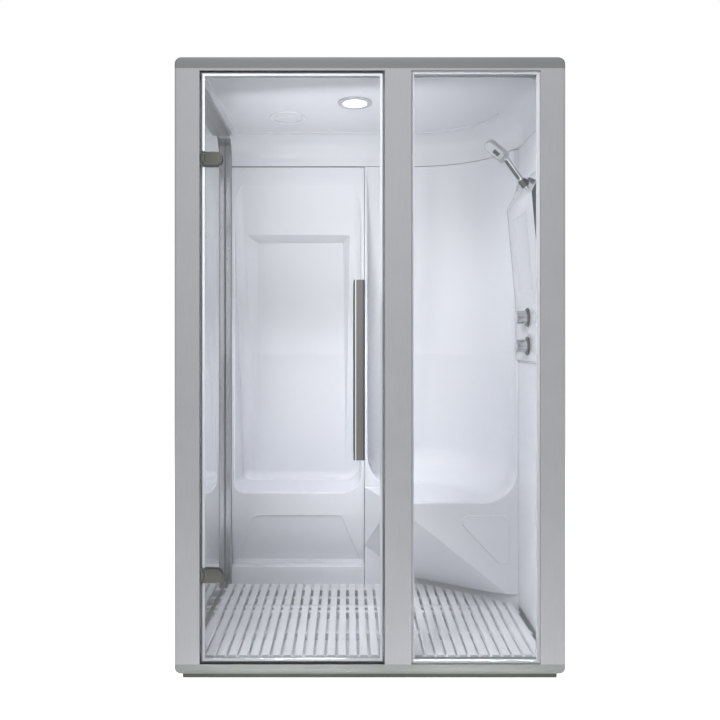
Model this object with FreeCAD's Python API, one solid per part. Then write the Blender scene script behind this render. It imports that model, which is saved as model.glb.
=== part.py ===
"""Steam room: aluminium frame, hinged glass door, two moulded seats, floor mat and shower panel.

Lengths are millimetres. X points right, Y to the back and Z up, with the origin at the bottom centre
of the bounding box. A depth is measured backwards from the front face of the frame.
"""
import math
import os

import FreeCAD
import Part
from FreeCAD import Rotation, Vector

# Whole cabin
CABIN_WIDTH = 1390.0
CABIN_DEPTH = 1204.0
CABIN_HEIGHT = 2224.0

# Cuts and fits
OVERRUN = 20.0
FIT = 0.5
SEAM_GAP = 3.0
SLIDE_CLEARANCE = 0.3
PIVOT_CLEARANCE = 0.05
HOLE_CLEARANCE = 0.2

# Plinth, base rails and roof cap
PLINTH_HEIGHT = 16.0
PLINTH_INSET = 25.0
PLINTH_BAR = 44.0
BASE_HEIGHT = 43.0
BASE_EDGE_RADIUS = 28.0
ROOF_HEIGHT = 49.0
ROOF_EDGE_RADIUS = 30.0
ROOF_SKIN = 4.0
CORNER_RADIUS = 8.0

# Front frame and the wall zone behind it
FRAME_DEPTH = 60.0
SIDE_POST_WIDTH = 90.0
CENTRE_POST_WIDTH = 94.0
POST_WALL = 3.0
HEADER_HEIGHT = 8.0
WALL_ZONE = 32.0
REAR_POST_WALL = 2.5
PANEL_THICKNESS = 4.0
PANEL_INSET = 3.0
LINER_THICKNESS = 6.0

# Door
DOOR_WIDTH = 648.0
DOOR_GAP = 5.0
DOOR_SILL_GAP = 4.0
GLASS = 8.0
GLASS_SETBACK = 12.0
SEAL_WIDTH = 13.0
SEAL_WALL = 1.5
MAGNET_WIDTH = 16.0
MAGNET_THICKNESS = 1.5

# Door hinges
HINGE_END_DISTANCE = 308.0
HINGE_PLATE_HEIGHT = 50.0
HINGE_PLATE_LENGTH = 70.0
HINGE_PLATE_OFFSET = 7.0
HINGE_PLATE_THICKNESS = 8.5
HINGE_AXIS_SETBACK = 6.0
KNUCKLE_RADIUS = 4.7
KNUCKLE_HEIGHT = 24.0
HINGE_PIN_RADIUS = 2.5
PIN_HEAD_HEIGHT = 3.0
LEAF_THICKNESS = 2.5
LEAF_DEPTH = 48.0
LEAF_SETBACK = 2.0
LEAF_SCREW_RADIUS = 2.5
LEAF_SCREW_HEAD_RADIUS = 4.5
LEAF_SCREW_HEAD = 1.5
LEAF_SCREW_LENGTH = 14.0
LEAF_SCREW_INSET = 13.0
LEAF_SCREW_SPREAD = 15.0
CLAMP_SCREW_RADIUS = 4.0
CLAMP_SCREW_SPREAD = 26.0

# Door handle
HANDLE_LENGTH = 626.0
HANDLE_WIDTH = 40.0
HANDLE_THICKNESS = 16.0
HANDLE_STANDOFF = 56.0
HANDLE_EDGE_RADIUS = 3.0
HANDLE_CENTRE_HEIGHT = 1106.5
HANDLE_EDGE_DISTANCE = 87.0
STUD_RADIUS = 8.0
STUD_END_DISTANCE = 89.0
STUD_FLANGE_RADIUS = 14.0
STUD_FLANGE = 3.0

# Fixed pane
BEAD_WIDTH = 10.0
BEAD_DEPTH = 16.0
BEAD_GROOVE = 6.0

# Floor tray, drain and mats
TRAY_THICKNESS = 6.0
DRAIN_X = -300.0
DRAIN_BORE_RADIUS = 20.0
DRAIN_SPIGOT_RADIUS = 25.0
DRAIN_FLANGE_RADIUS = 34.0
DRAIN_FLANGE = 3.0
GRATE_THICKNESS = 2.0
GRATE_SLOT = 4.0
GRATE_SLOTS = 5
MAT_HEIGHT = 42.0
SLAT_PITCH = 40.0
SLAT_WIDTH = 27.0
SLAT_THICKNESS = 16.0
BEARER_WIDTH = 24.0
MAT_SIDE_GAP = 10.0
MAT_SPLIT_GAP = 4.0
MAT_SPLIT_LEAD = 26.0
MAT_REAR_GAP = 68.0
BEARER_INSET = 12.0

# Left seat module
MODULE_DEPTH = 339.0
MODULE_SHELL = 10.0
SEAT_HEIGHT = 476.0
SEAT_RECLINE = 318.0
RECLINE_DROP = 87.0
NICHE_EDGE = 14.0
NICHE_LEFT_RADIUS = 48.0
NICHE_RIGHT_RADIUS = 85.0
NICHE_FILLET = 40.0
LIP_RADIUS = 8.0
HEEL_DROP = 76.0
HEEL_SCOOP = 45.0
HEEL_LIFT = 23.0
KICK_RISE = 55.0
KICK_SETBACK = 3.0
EMBOSS_DEPTH = 6.0
EMBOSS_ROUND = 4.0
EMBOSS_DROP = 112.0
EMBOSS_TOP_MARGIN = 110.0
EMBOSS_FOOT_MARGIN = 20.0
EMBOSS_RADIUS = 30.0
BACK_FIELD_DROP = 231.0
BACK_FIELD_LIFT = 60.0
BACK_FIELD_LEFT = 57.0
BACK_FIELD_RIGHT = 68.0
BACK_FIELD_LEFT_SLOPE = 57.0
BACK_FIELD_RIGHT_SLOPE = 32.0
BACK_FIELD_TOP_SLOPE = 32.0
BACK_FIELD_TAPER = 20.0
BACK_FIELD_DEPTH = 45.0

# Corner seat module
FACET_REACH = 292.0
CORNER_SEAT_HEIGHT = 500.0
CORNER_RECLINE = 250.0
CORNER_ROUND = 414.0
CORNER_SEAT_FILLET = 150.0
SEAT_TIP_X = 115.0
CORNER_CHEEK = 6.0
FLANK_FOOT_X = 227.0
FLANK_FOOT_REACH = 14.0
FLANK_KICK_RISE = 38.0
FLANK_BULGE = 60.0
CORNER_EMBOSS_RISE = 5.0
CORNER_EMBOSS_DROP = 55.0
CORNER_EMBOSS_HEIGHT = 261.0
CORNER_EMBOSS_LEFT = 378.0
CORNER_EMBOSS_RIGHT_MARGIN = 40.0

# Bearer frames under the seats
BEARER_TUBE = 30.0
BEARER_SPAN = 420.0
LEFT_BEARER_GAP = 172.0
CORNER_BEARER_GAP = 106.0

# Corner trim and ceiling
CORNER_TRIM_WIDTH = 30.0
CORNER_TRIM_DEPTH = 38.0
CORNER_TRIM_LEAD = 11.0
TRIM_RADIUS = 6.0
CEILING_TRIM_WIDTH = 45.0
CEILING_TRIM_THICKNESS = 12.0
CEILING_SLAB = 11.0
COVE_HEIGHT = 133.0
CEILING_FILLET = 95.0
CEILING_FIELD_STEP = 5.0
CEILING_FIELD_MARGIN = 70.0
SWEEP_START = (-382.0, 70.0)
SWEEP_MIDDLE = (130.0, 245.0)
SWEEP_END = (500.0, 450.0)

# Ceiling lamp and vent
LAMP_X = -50.0
LAMP_DEPTH = 340.0
BEZEL_RADIUS = 70.0
BEZEL_THICKNESS = 6.0
LENS_RADIUS = 49.0
LENS_THICKNESS = 4.0
LENS_RISE = 3.0
LAMP_BODY_RADIUS = 56.0
LAMP_BODY_HEIGHT = 34.0
LAMP_WALL = 2.0
VENT_X = -338.0
VENT_DEPTH = 531.0
VENT_RADIUS = 78.0
VENT_THICKNESS = 5.0
VENT_SPIGOT_RADIUS = 48.0
VENT_SPIGOT_HEIGHT = 30.0
VENT_SLOT_RADIUS = 60.0
VENT_SLOT = 5.0

# Shower panel
SHOWER_NEAR = 142.0
SHOWER_FAR_GAP = 5.0
SHOWER_DROP = 149.0
SHOWER_CAP_RISE = 114.0
SHOWER_LEAN_RISE = 424.0
SHOWER_FOOT_RISE = 225.0
SHOWER_FOOT_THICKNESS = 15.0
SHOWER_NOSE_REACH = 52.0
SHOWER_SKIN = 4.0
SHOWER_EDGE_RADIUS = 5.0
SHOWER_FIELD_DEPTH = 1.5
SHOWER_FIELD_MARGIN = 95.0
SHOWER_FIELD_LIFT = 60.0

# Knobs on the shower panel
KNOB_INSET = 193.0
KNOB_LIFTS = (65.0, 180.0)
KNOB_RADIUS = 27.0
KNOB_LENGTH = 42.0
KNOB_EDGE_RADIUS = 3.0
KNOB_GROOVE_RADIUS = 2.5
KNOB_GROOVES = 12
POINTER_WIDTH = 5.0
POINTER_RISE = 2.0
SPINDLE_RADIUS = 6.0
SPINDLE_ENGAGE = 28.0
ROSETTE_RADIUS = 38.0
ROSETTE_THICKNESS = 7.0
VALVE_WIDTH = 50.0
VALVE_CLEARANCE = 1.0
VALVE_END = 30.0

# Hand shower and its holder
HANDSET_INSET = 23.0
HANDSET_REACH = 12.0
HANDSET_LIFT = 20.0
HANDLE_LEAN_DEGREES = 36.0
HEAD_LEAN_DEGREES = 50.0
HEAD_TURN_DEGREES = 35.0
HANDSET_HANDLE_LENGTH = 138.0
HANDSET_GRIP_RADIUS = 11.0
HANDSET_COLLAR_RADIUS = 13.0
HANDSET_COLLAR = 4.0
HEAD_LENGTH = 100.0
HEAD_WIDTH = 46.0
HEAD_THICKNESS = 22.0
HEAD_EDGE_RADIUS = 7.0
SPRAY_PLATE_MARGIN = 5.0
SPRAY_PLATE_THICKNESS = 2.0
BUTTON_LENGTH = 26.0
BUTTON_WIDTH = 15.0
BUTTON_HEIGHT = 7.0
BUTTON_PROUD = 2.5
BUTTON_TRAVEL_ROOM = 2.0
UNION_RADIUS = 8.0
UNION_LENGTH = 8.0
CUP_START = 4.0
CUP_LENGTH = 30.0
CUP_WALL = 4.0
LUG_RADIUS = 6.0
LUG_WIDTH = 10.0
EAR_THICKNESS = 5.0
EAR_RADIUS = 7.0
HOLDER_PIN_RADIUS = 2.5

# Water inlets at the back
INLET_MARGIN = 103.0
INLET_SPACING = 70.0
INLET_HEIGHT = 300.0
INLET_RADIUS = 10.4
INLET_BORE_RADIUS = 7.5
INLET_LENGTH = 24.0
INLET_NUT_RADIUS = 17.0
INLET_NUT = 8.0
INLET_COLLAR = 3.0

# Steam boiler under the corner seat
BOILER_RADIUS = 78.0
BOILER_WALL = 3.0
BOILER_LENGTH = 350.0
BOILER_MARGIN = 113.0
BOILER_GAP = 207.0
BOILER_HEIGHT = 140.0
BOILER_FOOT_WIDTH = 30.0
BOILER_FOOT_INSET = 50.0
HEATER_RADIUS = 46.0
HEATER_LENGTH = 34.0
HEATER_FLANGE = 8.0
FILL_VALVE_WIDTH = 46.0
FILL_VALVE_HEIGHT = 62.0
STEAM_PIPE_RADIUS = 11.0
STEAM_PIPE_BEND = 32.0
NOZZLE_OFFSET = 72.0
NOZZLE_RADIUS = 16.0
NOZZLE_REACH = 43.0
NOZZLE_TAIL = 39.0
NOZZLE_BORE_RADIUS = 8.0
CONTROL_BOX_MARGIN = 213.0
CONTROL_BOX_WIDTH = 190.0
CONTROL_BOX_HEIGHT = 240.0
CONTROL_BOX_DEPTH = 70.0
CONTROL_BOX_RADIUS = 8.0

# Places worked out from the sizes above
HANDLE_REACH = HANDLE_STANDOFF + HANDLE_THICKNESS - GLASS_SETBACK
INLET_REACH = INLET_LENGTH - PANEL_INSET
FRONT_Y = HANDLE_REACH - (HANDLE_REACH + CABIN_DEPTH + INLET_REACH) / 2

LEFT_X = -CABIN_WIDTH / 2
RIGHT_X = CABIN_WIDTH / 2
BASE_TOP = PLINTH_HEIGHT + BASE_HEIGHT
ROOF_BOTTOM = CABIN_HEIGHT - ROOF_HEIGHT
HEADER_BOTTOM = ROOF_BOTTOM - HEADER_HEIGHT
TRAY_TOP = PLINTH_HEIGHT + TRAY_THICKNESS
INNER_LEFT = LEFT_X + WALL_ZONE
INNER_RIGHT = RIGHT_X - WALL_ZONE
BACK_ZONE = CABIN_DEPTH - WALL_ZONE

DOOR_BAY_LEFT = LEFT_X + SIDE_POST_WIDTH
DOOR_LEFT = DOOR_BAY_LEFT + DOOR_GAP
DOOR_RIGHT = DOOR_LEFT + DOOR_WIDTH
DOOR_BAY_RIGHT = DOOR_RIGHT + DOOR_GAP
PANE_BAY_LEFT = DOOR_BAY_RIGHT + CENTRE_POST_WIDTH
PANE_BAY_RIGHT = RIGHT_X - SIDE_POST_WIDTH
DOOR_BOTTOM = BASE_TOP + DOOR_SILL_GAP
DOOR_TOP = HEADER_BOTTOM - DOOR_SILL_GAP
GLASS_BACK = GLASS_SETBACK + GLASS
HINGE_AXIS_X = DOOR_LEFT
HINGE_HEIGHTS = (DOOR_BOTTOM + HINGE_END_DISTANCE, DOOR_TOP - HINGE_END_DISTANCE)
CLAMP_LEFT = HINGE_AXIS_X + HINGE_PLATE_OFFSET
CLAMP_RIGHT = CLAMP_LEFT + HINGE_PLATE_LENGTH

MAT_TOP = TRAY_TOP + MAT_HEIGHT
CEILING_HEIGHT = ROOF_BOTTOM - CEILING_SLAB
CEILING_FIELD = CEILING_HEIGHT + CEILING_FIELD_STEP
LEFT_MODULE_X = (INNER_LEFT + CORNER_TRIM_WIDTH + FIT, -SEAM_GAP / 2)
CORNER_MODULE_X = (SEAM_GAP / 2, INNER_RIGHT - FIT)
MODULE_BACK = BACK_ZONE - FIT
MODULE_TOP = CEILING_HEIGHT - COVE_HEIGHT
MODULE_FLANGE_DEPTH = BACK_ZONE - MODULE_DEPTH
RECLINE_TOP = MODULE_TOP - RECLINE_DROP
KICK_HEIGHT = MAT_TOP + KICK_RISE
HEEL_TOP = SEAT_HEIGHT - HEEL_DROP
HEEL_FOOT = KICK_HEIGHT + HEEL_LIFT
FACET_DEPTH = MODULE_FLANGE_DEPTH - FACET_REACH
FLANK_FOOT_DEPTH = MODULE_FLANGE_DEPTH - FLANK_FOOT_REACH
FLANK_KICK_HEIGHT = MAT_TOP + FLANK_KICK_RISE

SHOWER_FAR = FACET_DEPTH - SHOWER_FAR_GAP
SHOWER_FACE_X = INNER_RIGHT - SHOWER_FOOT_THICKNESS
SHOWER_NOSE_X = INNER_RIGHT - SHOWER_NOSE_REACH
SHOWER_TOP = MODULE_TOP - SHOWER_DROP
SHOWER_NOSE_HEIGHT = SHOWER_TOP - SHOWER_CAP_RISE
SHOWER_KNEE = SHOWER_NOSE_HEIGHT - SHOWER_LEAN_RISE
SHOWER_FOOT = SHOWER_KNEE - SHOWER_FOOT_RISE
KNOB_DEPTH = SHOWER_NEAR + KNOB_INSET
KNOB_HEIGHTS = tuple(SHOWER_FOOT + lift for lift in KNOB_LIFTS)
HANDSET_DEPTH = SHOWER_NEAR + HANDSET_INSET

BOILER_X = INNER_RIGHT - BOILER_MARGIN - BOILER_LENGTH
BOILER_DEPTH = BACK_ZONE - BOILER_GAP
NOZZLE_X = BOILER_X - NOZZLE_OFFSET
INLET_X = INNER_RIGHT - INLET_MARGIN
FRONT_MAT_END = FACET_DEPTH - MAT_SPLIT_LEAD
REAR_MAT_END = MODULE_FLANGE_DEPTH - MAT_REAR_GAP
REAR_MAT_START = FRONT_MAT_END + MAT_SPLIT_GAP
FIRST_BEARER_END = REAR_MAT_START + BEARER_INSET + BEARER_WIDTH
MIDDLE_BEARER_START = (REAR_MAT_START + REAR_MAT_END - BEARER_WIDTH) / 2
DRAIN_DEPTH = (FIRST_BEARER_END + MIDDLE_BEARER_START) / 2


# Shape helpers


def place(x, depth, z):
    """Point at a depth behind the front face."""
    return Vector(x, FRONT_Y + depth, z)


def inward(span, margin):
    """Span shortened by a margin at both ends."""
    return (span[0] + margin, span[1] - margin)


def block(x_span, depth_span, z_span):
    """Box between two places on each axis."""
    size = [span[1] - span[0] for span in (x_span, depth_span, z_span)]
    return Part.makeBox(*size, place(x_span[0], depth_span[0], z_span[0]))


def rod(start, end, radius):
    """Cylinder between two points."""
    along = end - start
    return Part.makeCylinder(radius, along.Length, start, along)


def outline(corners, to_point):
    """Closed wire through flat corners (u, v, radius); a corner with a radius is rounded."""
    joints = []
    for index, (u, v, radius) in enumerate(corners):
        here = Vector(u, v, 0)
        before = Vector(*corners[index - 1][:2], 0) - here
        after = Vector(*corners[(index + 1) % len(corners)][:2], 0) - here
        if not radius:
            joints.append((here, None, here))
            continue
        before.normalize()
        after.normalize()
        half = before.getAngle(after) / 2
        inward = (before + after).normalize()
        middle = here + inward * (radius / math.sin(half) - radius)
        reach = radius / math.tan(half)
        joints.append((here + before * reach, middle, here + after * reach))
    edges = []
    for index, (start, middle, end) in enumerate(joints):
        points = [to_point(point.x, point.y) for point in (start, middle, end) if point]
        if middle:
            edges.append(Part.Arc(*points).toShape())
        following = joints[(index + 1) % len(joints)][0]
        if not end.isEqual(following, PIVOT_CLEARANCE):
            edges.append(Part.makeLine(points[-1], to_point(following.x, following.y)))
    return Part.Wire(edges)


def along_x(corners, x_span):
    """Solid with a (depth, z) outline between two places on X."""
    wire = outline(corners, lambda depth, z: place(x_span[0], depth, z))
    return Part.Face(wire).extrude(Vector(x_span[1] - x_span[0], 0, 0))


def along_depth(corners, depth_span):
    """Solid with an (x, z) outline between two depths."""
    wire = outline(corners, lambda x, z: place(x, depth_span[0], z))
    return Part.Face(wire).extrude(Vector(0, depth_span[1] - depth_span[0], 0))


def along_z(corners, z_span):
    """Solid with an (x, depth) outline between two heights."""
    wire = outline(corners, lambda x, depth: place(x, depth, z_span[0]))
    return Part.Face(wire).extrude(Vector(0, 0, z_span[1] - z_span[0]))


def edges_where(shape, test):
    """Edges whose middle passes a test on points."""
    return [
        edge
        for edge in shape.Edges
        if test(edge.valueAt((edge.FirstParameter + edge.LastParameter) / 2))
    ]


def near(value, target):
    """Whether two lengths agree within the smallest clearance."""
    return abs(value - target) < PIVOT_CLEARANCE


def upright_edges(shape):
    """Edges that run straight up."""
    return [
        edge
        for edge in shape.Edges
        if near(edge.BoundBox.XLength, 0) and near(edge.BoundBox.YLength, 0)
    ]


def round_uprights(shape, radius, test):
    """Shape with some of its upright edges rounded."""
    edges = [edge for edge in upright_edges(shape) if test(edge.Vertexes[0].Point)]
    return shape.makeFillet(radius, edges)


# Base, roof and frame


def cap_slab(z_span, edge_radius, edge_z):
    """Slab of the cabin's plan with rounded corners and one rounded rim."""
    slab = block((LEFT_X, RIGHT_X), (0, CABIN_DEPTH), z_span)
    slab = slab.makeFillet(CORNER_RADIUS, upright_edges(slab))
    rim = edges_where(slab, lambda point: near(point.z, edge_z))
    return slab.makeFillet(edge_radius, rim)


def plinth():
    """Four bars that carry the base rails and the tray."""
    x0 = LEFT_X + PLINTH_INSET
    d0 = PLINTH_INSET
    d1 = CABIN_DEPTH - PLINTH_INSET
    heights = (0, PLINTH_HEIGHT)
    sides = (d0 + PLINTH_BAR, d1 - PLINTH_BAR)
    return [
        block((x0, -x0), (d0, d0 + PLINTH_BAR), heights),
        block((x0, -x0), (d1 - PLINTH_BAR, d1), heights),
        block((x0, x0 + PLINTH_BAR), sides, heights),
        block((-x0 - PLINTH_BAR, -x0), sides, heights),
    ]


def base_ring():
    """Base slab with the opening for the tray."""
    slab = cap_slab((PLINTH_HEIGHT, BASE_TOP), BASE_EDGE_RADIUS, PLINTH_HEIGHT)
    opening = block(
        (INNER_LEFT, INNER_RIGHT),
        (FRAME_DEPTH, BACK_ZONE),
        (PLINTH_HEIGHT - OVERRUN, BASE_TOP + OVERRUN),
    )
    return slab.cut(opening)


def base_part(x_span, depth_span):
    """Stretch of the base ring between places on X and in depth."""
    heights = (PLINTH_HEIGHT - OVERRUN, BASE_TOP + OVERRUN)
    return base_ring().common(block(x_span, depth_span, heights)).Solids[0]


def base_rail_front():
    """Front rail with its rounded lower edge."""
    return [base_part((LEFT_X - OVERRUN, RIGHT_X + OVERRUN), (-OVERRUN, FRAME_DEPTH))]


def base_rails_rear():
    """Two side rails and the back rail."""
    sides = (FRAME_DEPTH, BACK_ZONE)
    return [
        base_part((LEFT_X - OVERRUN, INNER_LEFT), sides),
        base_part((INNER_RIGHT, RIGHT_X + OVERRUN), sides),
        base_part((LEFT_X - OVERRUN, RIGHT_X + OVERRUN), (BACK_ZONE, CABIN_DEPTH + OVERRUN)),
    ]


def roof_cap():
    """Lid with a rounded upper rim, hollow from below inside the wall zone."""
    slab = cap_slab((ROOF_BOTTOM, CABIN_HEIGHT), ROOF_EDGE_RADIUS, CABIN_HEIGHT)
    hollow = block(
        (INNER_LEFT, INNER_RIGHT),
        (FRAME_DEPTH, BACK_ZONE),
        (ROOF_BOTTOM - OVERRUN, CABIN_HEIGHT - ROOF_SKIN),
    )
    return [slab.cut(hollow)]


def tube(x_span, depth_span, wall, rounded=None):
    """Upright frame tube; a test can choose outer edges to round."""
    heights = (BASE_TOP, ROOF_BOTTOM)
    outer = block(x_span, depth_span, heights)
    if rounded:
        outer = round_uprights(outer, CORNER_RADIUS, rounded)
    return outer.cut(block(inward(x_span, wall), inward(depth_span, wall), inward(heights, -OVERRUN)))


def is_front_corner(point):
    """Whether a point lies on one of the cabin's two front corners."""
    return near(abs(point.x), RIGHT_X) and near(point.y, FRONT_Y)


def is_rear_corner(point):
    """Whether a point lies on one of the cabin's two rear corners."""
    return near(abs(point.x), RIGHT_X) and near(point.y, FRONT_Y + CABIN_DEPTH)


def post_left():
    """Hinge post, drilled for the hinge leaf screws."""
    post = tube((LEFT_X, DOOR_BAY_LEFT), (0, FRAME_DEPTH), POST_WALL, is_front_corner)
    for screw in leaf_screw_axes():
        post = post.cut(rod(*screw, LEAF_SCREW_RADIUS + HOLE_CLEARANCE))
    return [post]


def post_centre():
    """Post between the door and the fixed pane."""
    return [tube((DOOR_BAY_RIGHT, PANE_BAY_LEFT), (0, FRAME_DEPTH), POST_WALL)]


def post_right():
    """Post at the right of the fixed pane."""
    return [tube((PANE_BAY_RIGHT, RIGHT_X), (0, FRAME_DEPTH), POST_WALL, is_front_corner)]


def rear_posts():
    """Two slim tubes in the rear corners."""
    span = (BACK_ZONE, CABIN_DEPTH)
    return [
        tube((LEFT_X, INNER_LEFT), span, REAR_POST_WALL, is_rear_corner),
        tube((INNER_RIGHT, RIGHT_X), span, REAR_POST_WALL, is_rear_corner),
    ]


def header_rail():
    """Flat bars over the door and over the pane."""
    heights = (HEADER_BOTTOM, ROOF_BOTTOM)
    return [
        block((DOOR_BAY_LEFT, DOOR_BAY_RIGHT), (0, FRAME_DEPTH), heights),
        block((PANE_BAY_LEFT, PANE_BAY_RIGHT), (0, FRAME_DEPTH), heights),
    ]


def side_panels():
    """Outer skins of the two side walls."""
    depths = (FRAME_DEPTH, BACK_ZONE)
    heights = (BASE_TOP, ROOF_BOTTOM)
    outer = RIGHT_X - PANEL_INSET
    return [
        block((-outer, PANEL_THICKNESS - outer), depths, heights),
        block((outer - PANEL_THICKNESS, outer), depths, heights),
    ]


def back_panel():
    """Outer skin of the back wall with holes for the water inlets."""
    rear = CABIN_DEPTH - PANEL_INSET
    panel = block((INNER_LEFT, INNER_RIGHT), (rear - PANEL_THICKNESS, rear), (BASE_TOP, ROOF_BOTTOM))
    for x in inlet_places():
        panel = panel.cut(inlet_rod(x, INLET_RADIUS + HOLE_CLEARANCE, -OVERRUN, OVERRUN))
    return [panel]


def wall_liner_left():
    """Mirror panel lining the left wall."""
    x_span = (INNER_LEFT - LINER_THICKNESS, INNER_LEFT)
    return [block(x_span, (FRAME_DEPTH, BACK_ZONE), (BASE_TOP, ROOF_BOTTOM))]


def wall_liner_right():
    """White inner skin of the right wall with holes for the valve spindles."""
    liner = block(
        (INNER_RIGHT, INNER_RIGHT + LINER_THICKNESS),
        (FRAME_DEPTH, BACK_ZONE),
        (BASE_TOP, ROOF_BOTTOM),
    )
    for height in KNOB_HEIGHTS:
        liner = liner.cut(spindle(height, SPINDLE_RADIUS + HOLE_CLEARANCE))
    return [liner]


# Floor


def floor_tray():
    """Flat tray inside the base rails with the drain hole."""
    x_span = inward((INNER_LEFT, INNER_RIGHT), FIT)
    depths = inward((FRAME_DEPTH, BACK_ZONE), FIT)
    tray = block(x_span, depths, (PLINTH_HEIGHT, TRAY_TOP))
    foot = place(DRAIN_X, DRAIN_DEPTH, PLINTH_HEIGHT - OVERRUN)
    top = place(DRAIN_X, DRAIN_DEPTH, TRAY_TOP + OVERRUN)
    return [tray.cut(rod(foot, top, DRAIN_SPIGOT_RADIUS + FIT))]


def drain_outlet():
    """Waste spigot with a flange on the tray, and the slotted grate on it."""
    foot = place(DRAIN_X, DRAIN_DEPTH, 0)
    rim = place(DRAIN_X, DRAIN_DEPTH, TRAY_TOP)
    lip = place(DRAIN_X, DRAIN_DEPTH, TRAY_TOP + DRAIN_FLANGE)
    lid = place(DRAIN_X, DRAIN_DEPTH, TRAY_TOP + DRAIN_FLANGE + GRATE_THICKNESS)
    spigot = rod(foot, lip, DRAIN_SPIGOT_RADIUS).fuse(rod(rim, lip, DRAIN_FLANGE_RADIUS))
    bore = rod(place(DRAIN_X, DRAIN_DEPTH, -OVERRUN), lid, DRAIN_BORE_RADIUS)
    grate = rod(lip, lid, DRAIN_FLANGE_RADIUS)
    slot_reach = DRAIN_BORE_RADIUS - GRATE_SLOT
    for index in range(GRATE_SLOTS):
        offset = (index - (GRATE_SLOTS - 1) / 2) * 2 * GRATE_SLOT
        half = math.sqrt(DRAIN_BORE_RADIUS ** 2 - offset ** 2) * slot_reach / DRAIN_BORE_RADIUS
        centre = DRAIN_X + offset
        slot = block(
            (centre - GRATE_SLOT / 2, centre + GRATE_SLOT / 2),
            (DRAIN_DEPTH - half, DRAIN_DEPTH + half),
            (TRAY_TOP, TRAY_TOP + OVERRUN),
        )
        grate = grate.cut(slot)
    return [spigot.cut(bore), grate]


def mat(depth_span, limit):
    """Slats in depth over cross bearers, kept inside a plan outline."""
    x0 = INNER_LEFT + MAT_SIDE_GAP
    x1 = INNER_RIGHT - MAT_SIDE_GAP
    waist = MAT_TOP - SLAT_THICKNESS
    count = int((x1 - x0 + SLAT_PITCH - SLAT_WIDTH) // SLAT_PITCH)
    start = x0 + (x1 - x0 - (count - 1) * SLAT_PITCH - SLAT_WIDTH) / 2
    pieces = []
    for index in range(count):
        left = start + index * SLAT_PITCH
        pieces.append(block((left, left + SLAT_WIDTH), depth_span, (waist, MAT_TOP)))
    middle = (depth_span[0] + depth_span[1] - BEARER_WIDTH) / 2
    ends = (depth_span[0] + BEARER_INSET, middle, depth_span[1] - BEARER_INSET - BEARER_WIDTH)
    for near_edge in ends:
        pieces.append(block((x0, x1), (near_edge, near_edge + BEARER_WIDTH), (TRAY_TOP, waist)))
    grid = pieces[0].multiFuse(pieces[1:])
    if limit:
        grid = grid.cut(limit)
    return [grid]


def floor_mat_front():
    """Section of the mat that lifts out."""
    return mat((FRAME_DEPTH + MAT_SPLIT_GAP, FRONT_MAT_END), None)


def floor_mat_rear():
    """Section of the mat in front of the seats, cut along the foot of the corner seat."""
    slope = (FACET_DEPTH - FLANK_FOOT_DEPTH) / (INNER_RIGHT - FLANK_FOOT_X)
    line_x = FLANK_FOOT_X - MAT_SIDE_GAP
    line_depth = FLANK_FOOT_DEPTH - MAT_SIDE_GAP - MAT_SPLIT_GAP
    rear = REAR_MAT_END + OVERRUN
    corners = [
        (line_x + (rear - line_depth) / slope, rear, 0),
        (RIGHT_X, line_depth + slope * (RIGHT_X - line_x), 0),
        (RIGHT_X, rear, 0),
    ]
    limit = along_z(corners, (0, MAT_TOP + OVERRUN))
    return mat((REAR_MAT_START, REAR_MAT_END), limit)


# Seat modules


def left_block(inset):
    """Outer body of the left module, swept back to the heels above a kick, inset for the hollow."""
    front = MODULE_FLANGE_DEPTH + inset
    scoop = front + HEEL_SCOOP
    kick = front + KICK_SETBACK
    bend = (HEEL_TOP + HEEL_FOOT) / 2
    sweep = (HEEL_TOP - bend) / math.tan(math.atan2(HEEL_SCOOP, bend - HEEL_FOOT) / 2)
    foot = TRAY_TOP - (OVERRUN if inset else 0)
    rear = MODULE_BACK + (OVERRUN if inset else 0)
    top = MODULE_TOP - inset
    corners = [
        (kick, foot, 0),
        (kick, KICK_HEIGHT - inset, 0),
        (scoop, KICK_HEIGHT - inset, 0),
        (scoop, HEEL_FOOT, 0),
        (front, bend, sweep),
        (front, top, 0),
        (rear, top, 0),
        (rear, foot, 0),
    ]
    return along_x(corners, inward(LEFT_MODULE_X, inset))


def left_recline(inset):
    """Wedge in front of the leaning backrest and above the seat."""
    rise = RECLINE_TOP - SEAT_HEIGHT
    lead = MODULE_FLANGE_DEPTH - OVERRUN
    corners = [
        (lead, SEAT_HEIGHT - inset, 0),
        (recline_depth(SEAT_HEIGHT - inset) + inset, SEAT_HEIGHT - inset, 0),
        (lead + inset, RECLINE_TOP + OVERRUN * rise / SEAT_RECLINE, 0),
    ]
    return along_x(corners, inward(LEFT_MODULE_X, -OVERRUN))


def recline_depth(height):
    """Depth of the left backrest at a height."""
    share = (RECLINE_TOP - height) / (RECLINE_TOP - SEAT_HEIGHT)
    return MODULE_FLANGE_DEPTH + SEAT_RECLINE * share


def left_niche():
    """Cutter for the seat space of the left module."""
    x0, x1 = inward(LEFT_MODULE_X, NICHE_EDGE)
    corners = [
        (x0, SEAT_HEIGHT, NICHE_LEFT_RADIUS),
        (x1, SEAT_HEIGHT, NICHE_RIGHT_RADIUS),
        (x1, CABIN_HEIGHT, 0),
        (x0, CABIN_HEIGHT, 0),
    ]
    depths = (MODULE_FLANGE_DEPTH - OVERRUN, MODULE_BACK)
    niche = along_depth(corners, depths).common(left_recline(0)).Solids[0]

    def on_backrest(point):
        depth = point.y - FRONT_Y
        return near(depth, recline_depth(point.z)) and not near(depth, depths[0])

    return niche.makeFillet(NICHE_FILLET, edges_where(niche, on_backrest))


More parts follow.
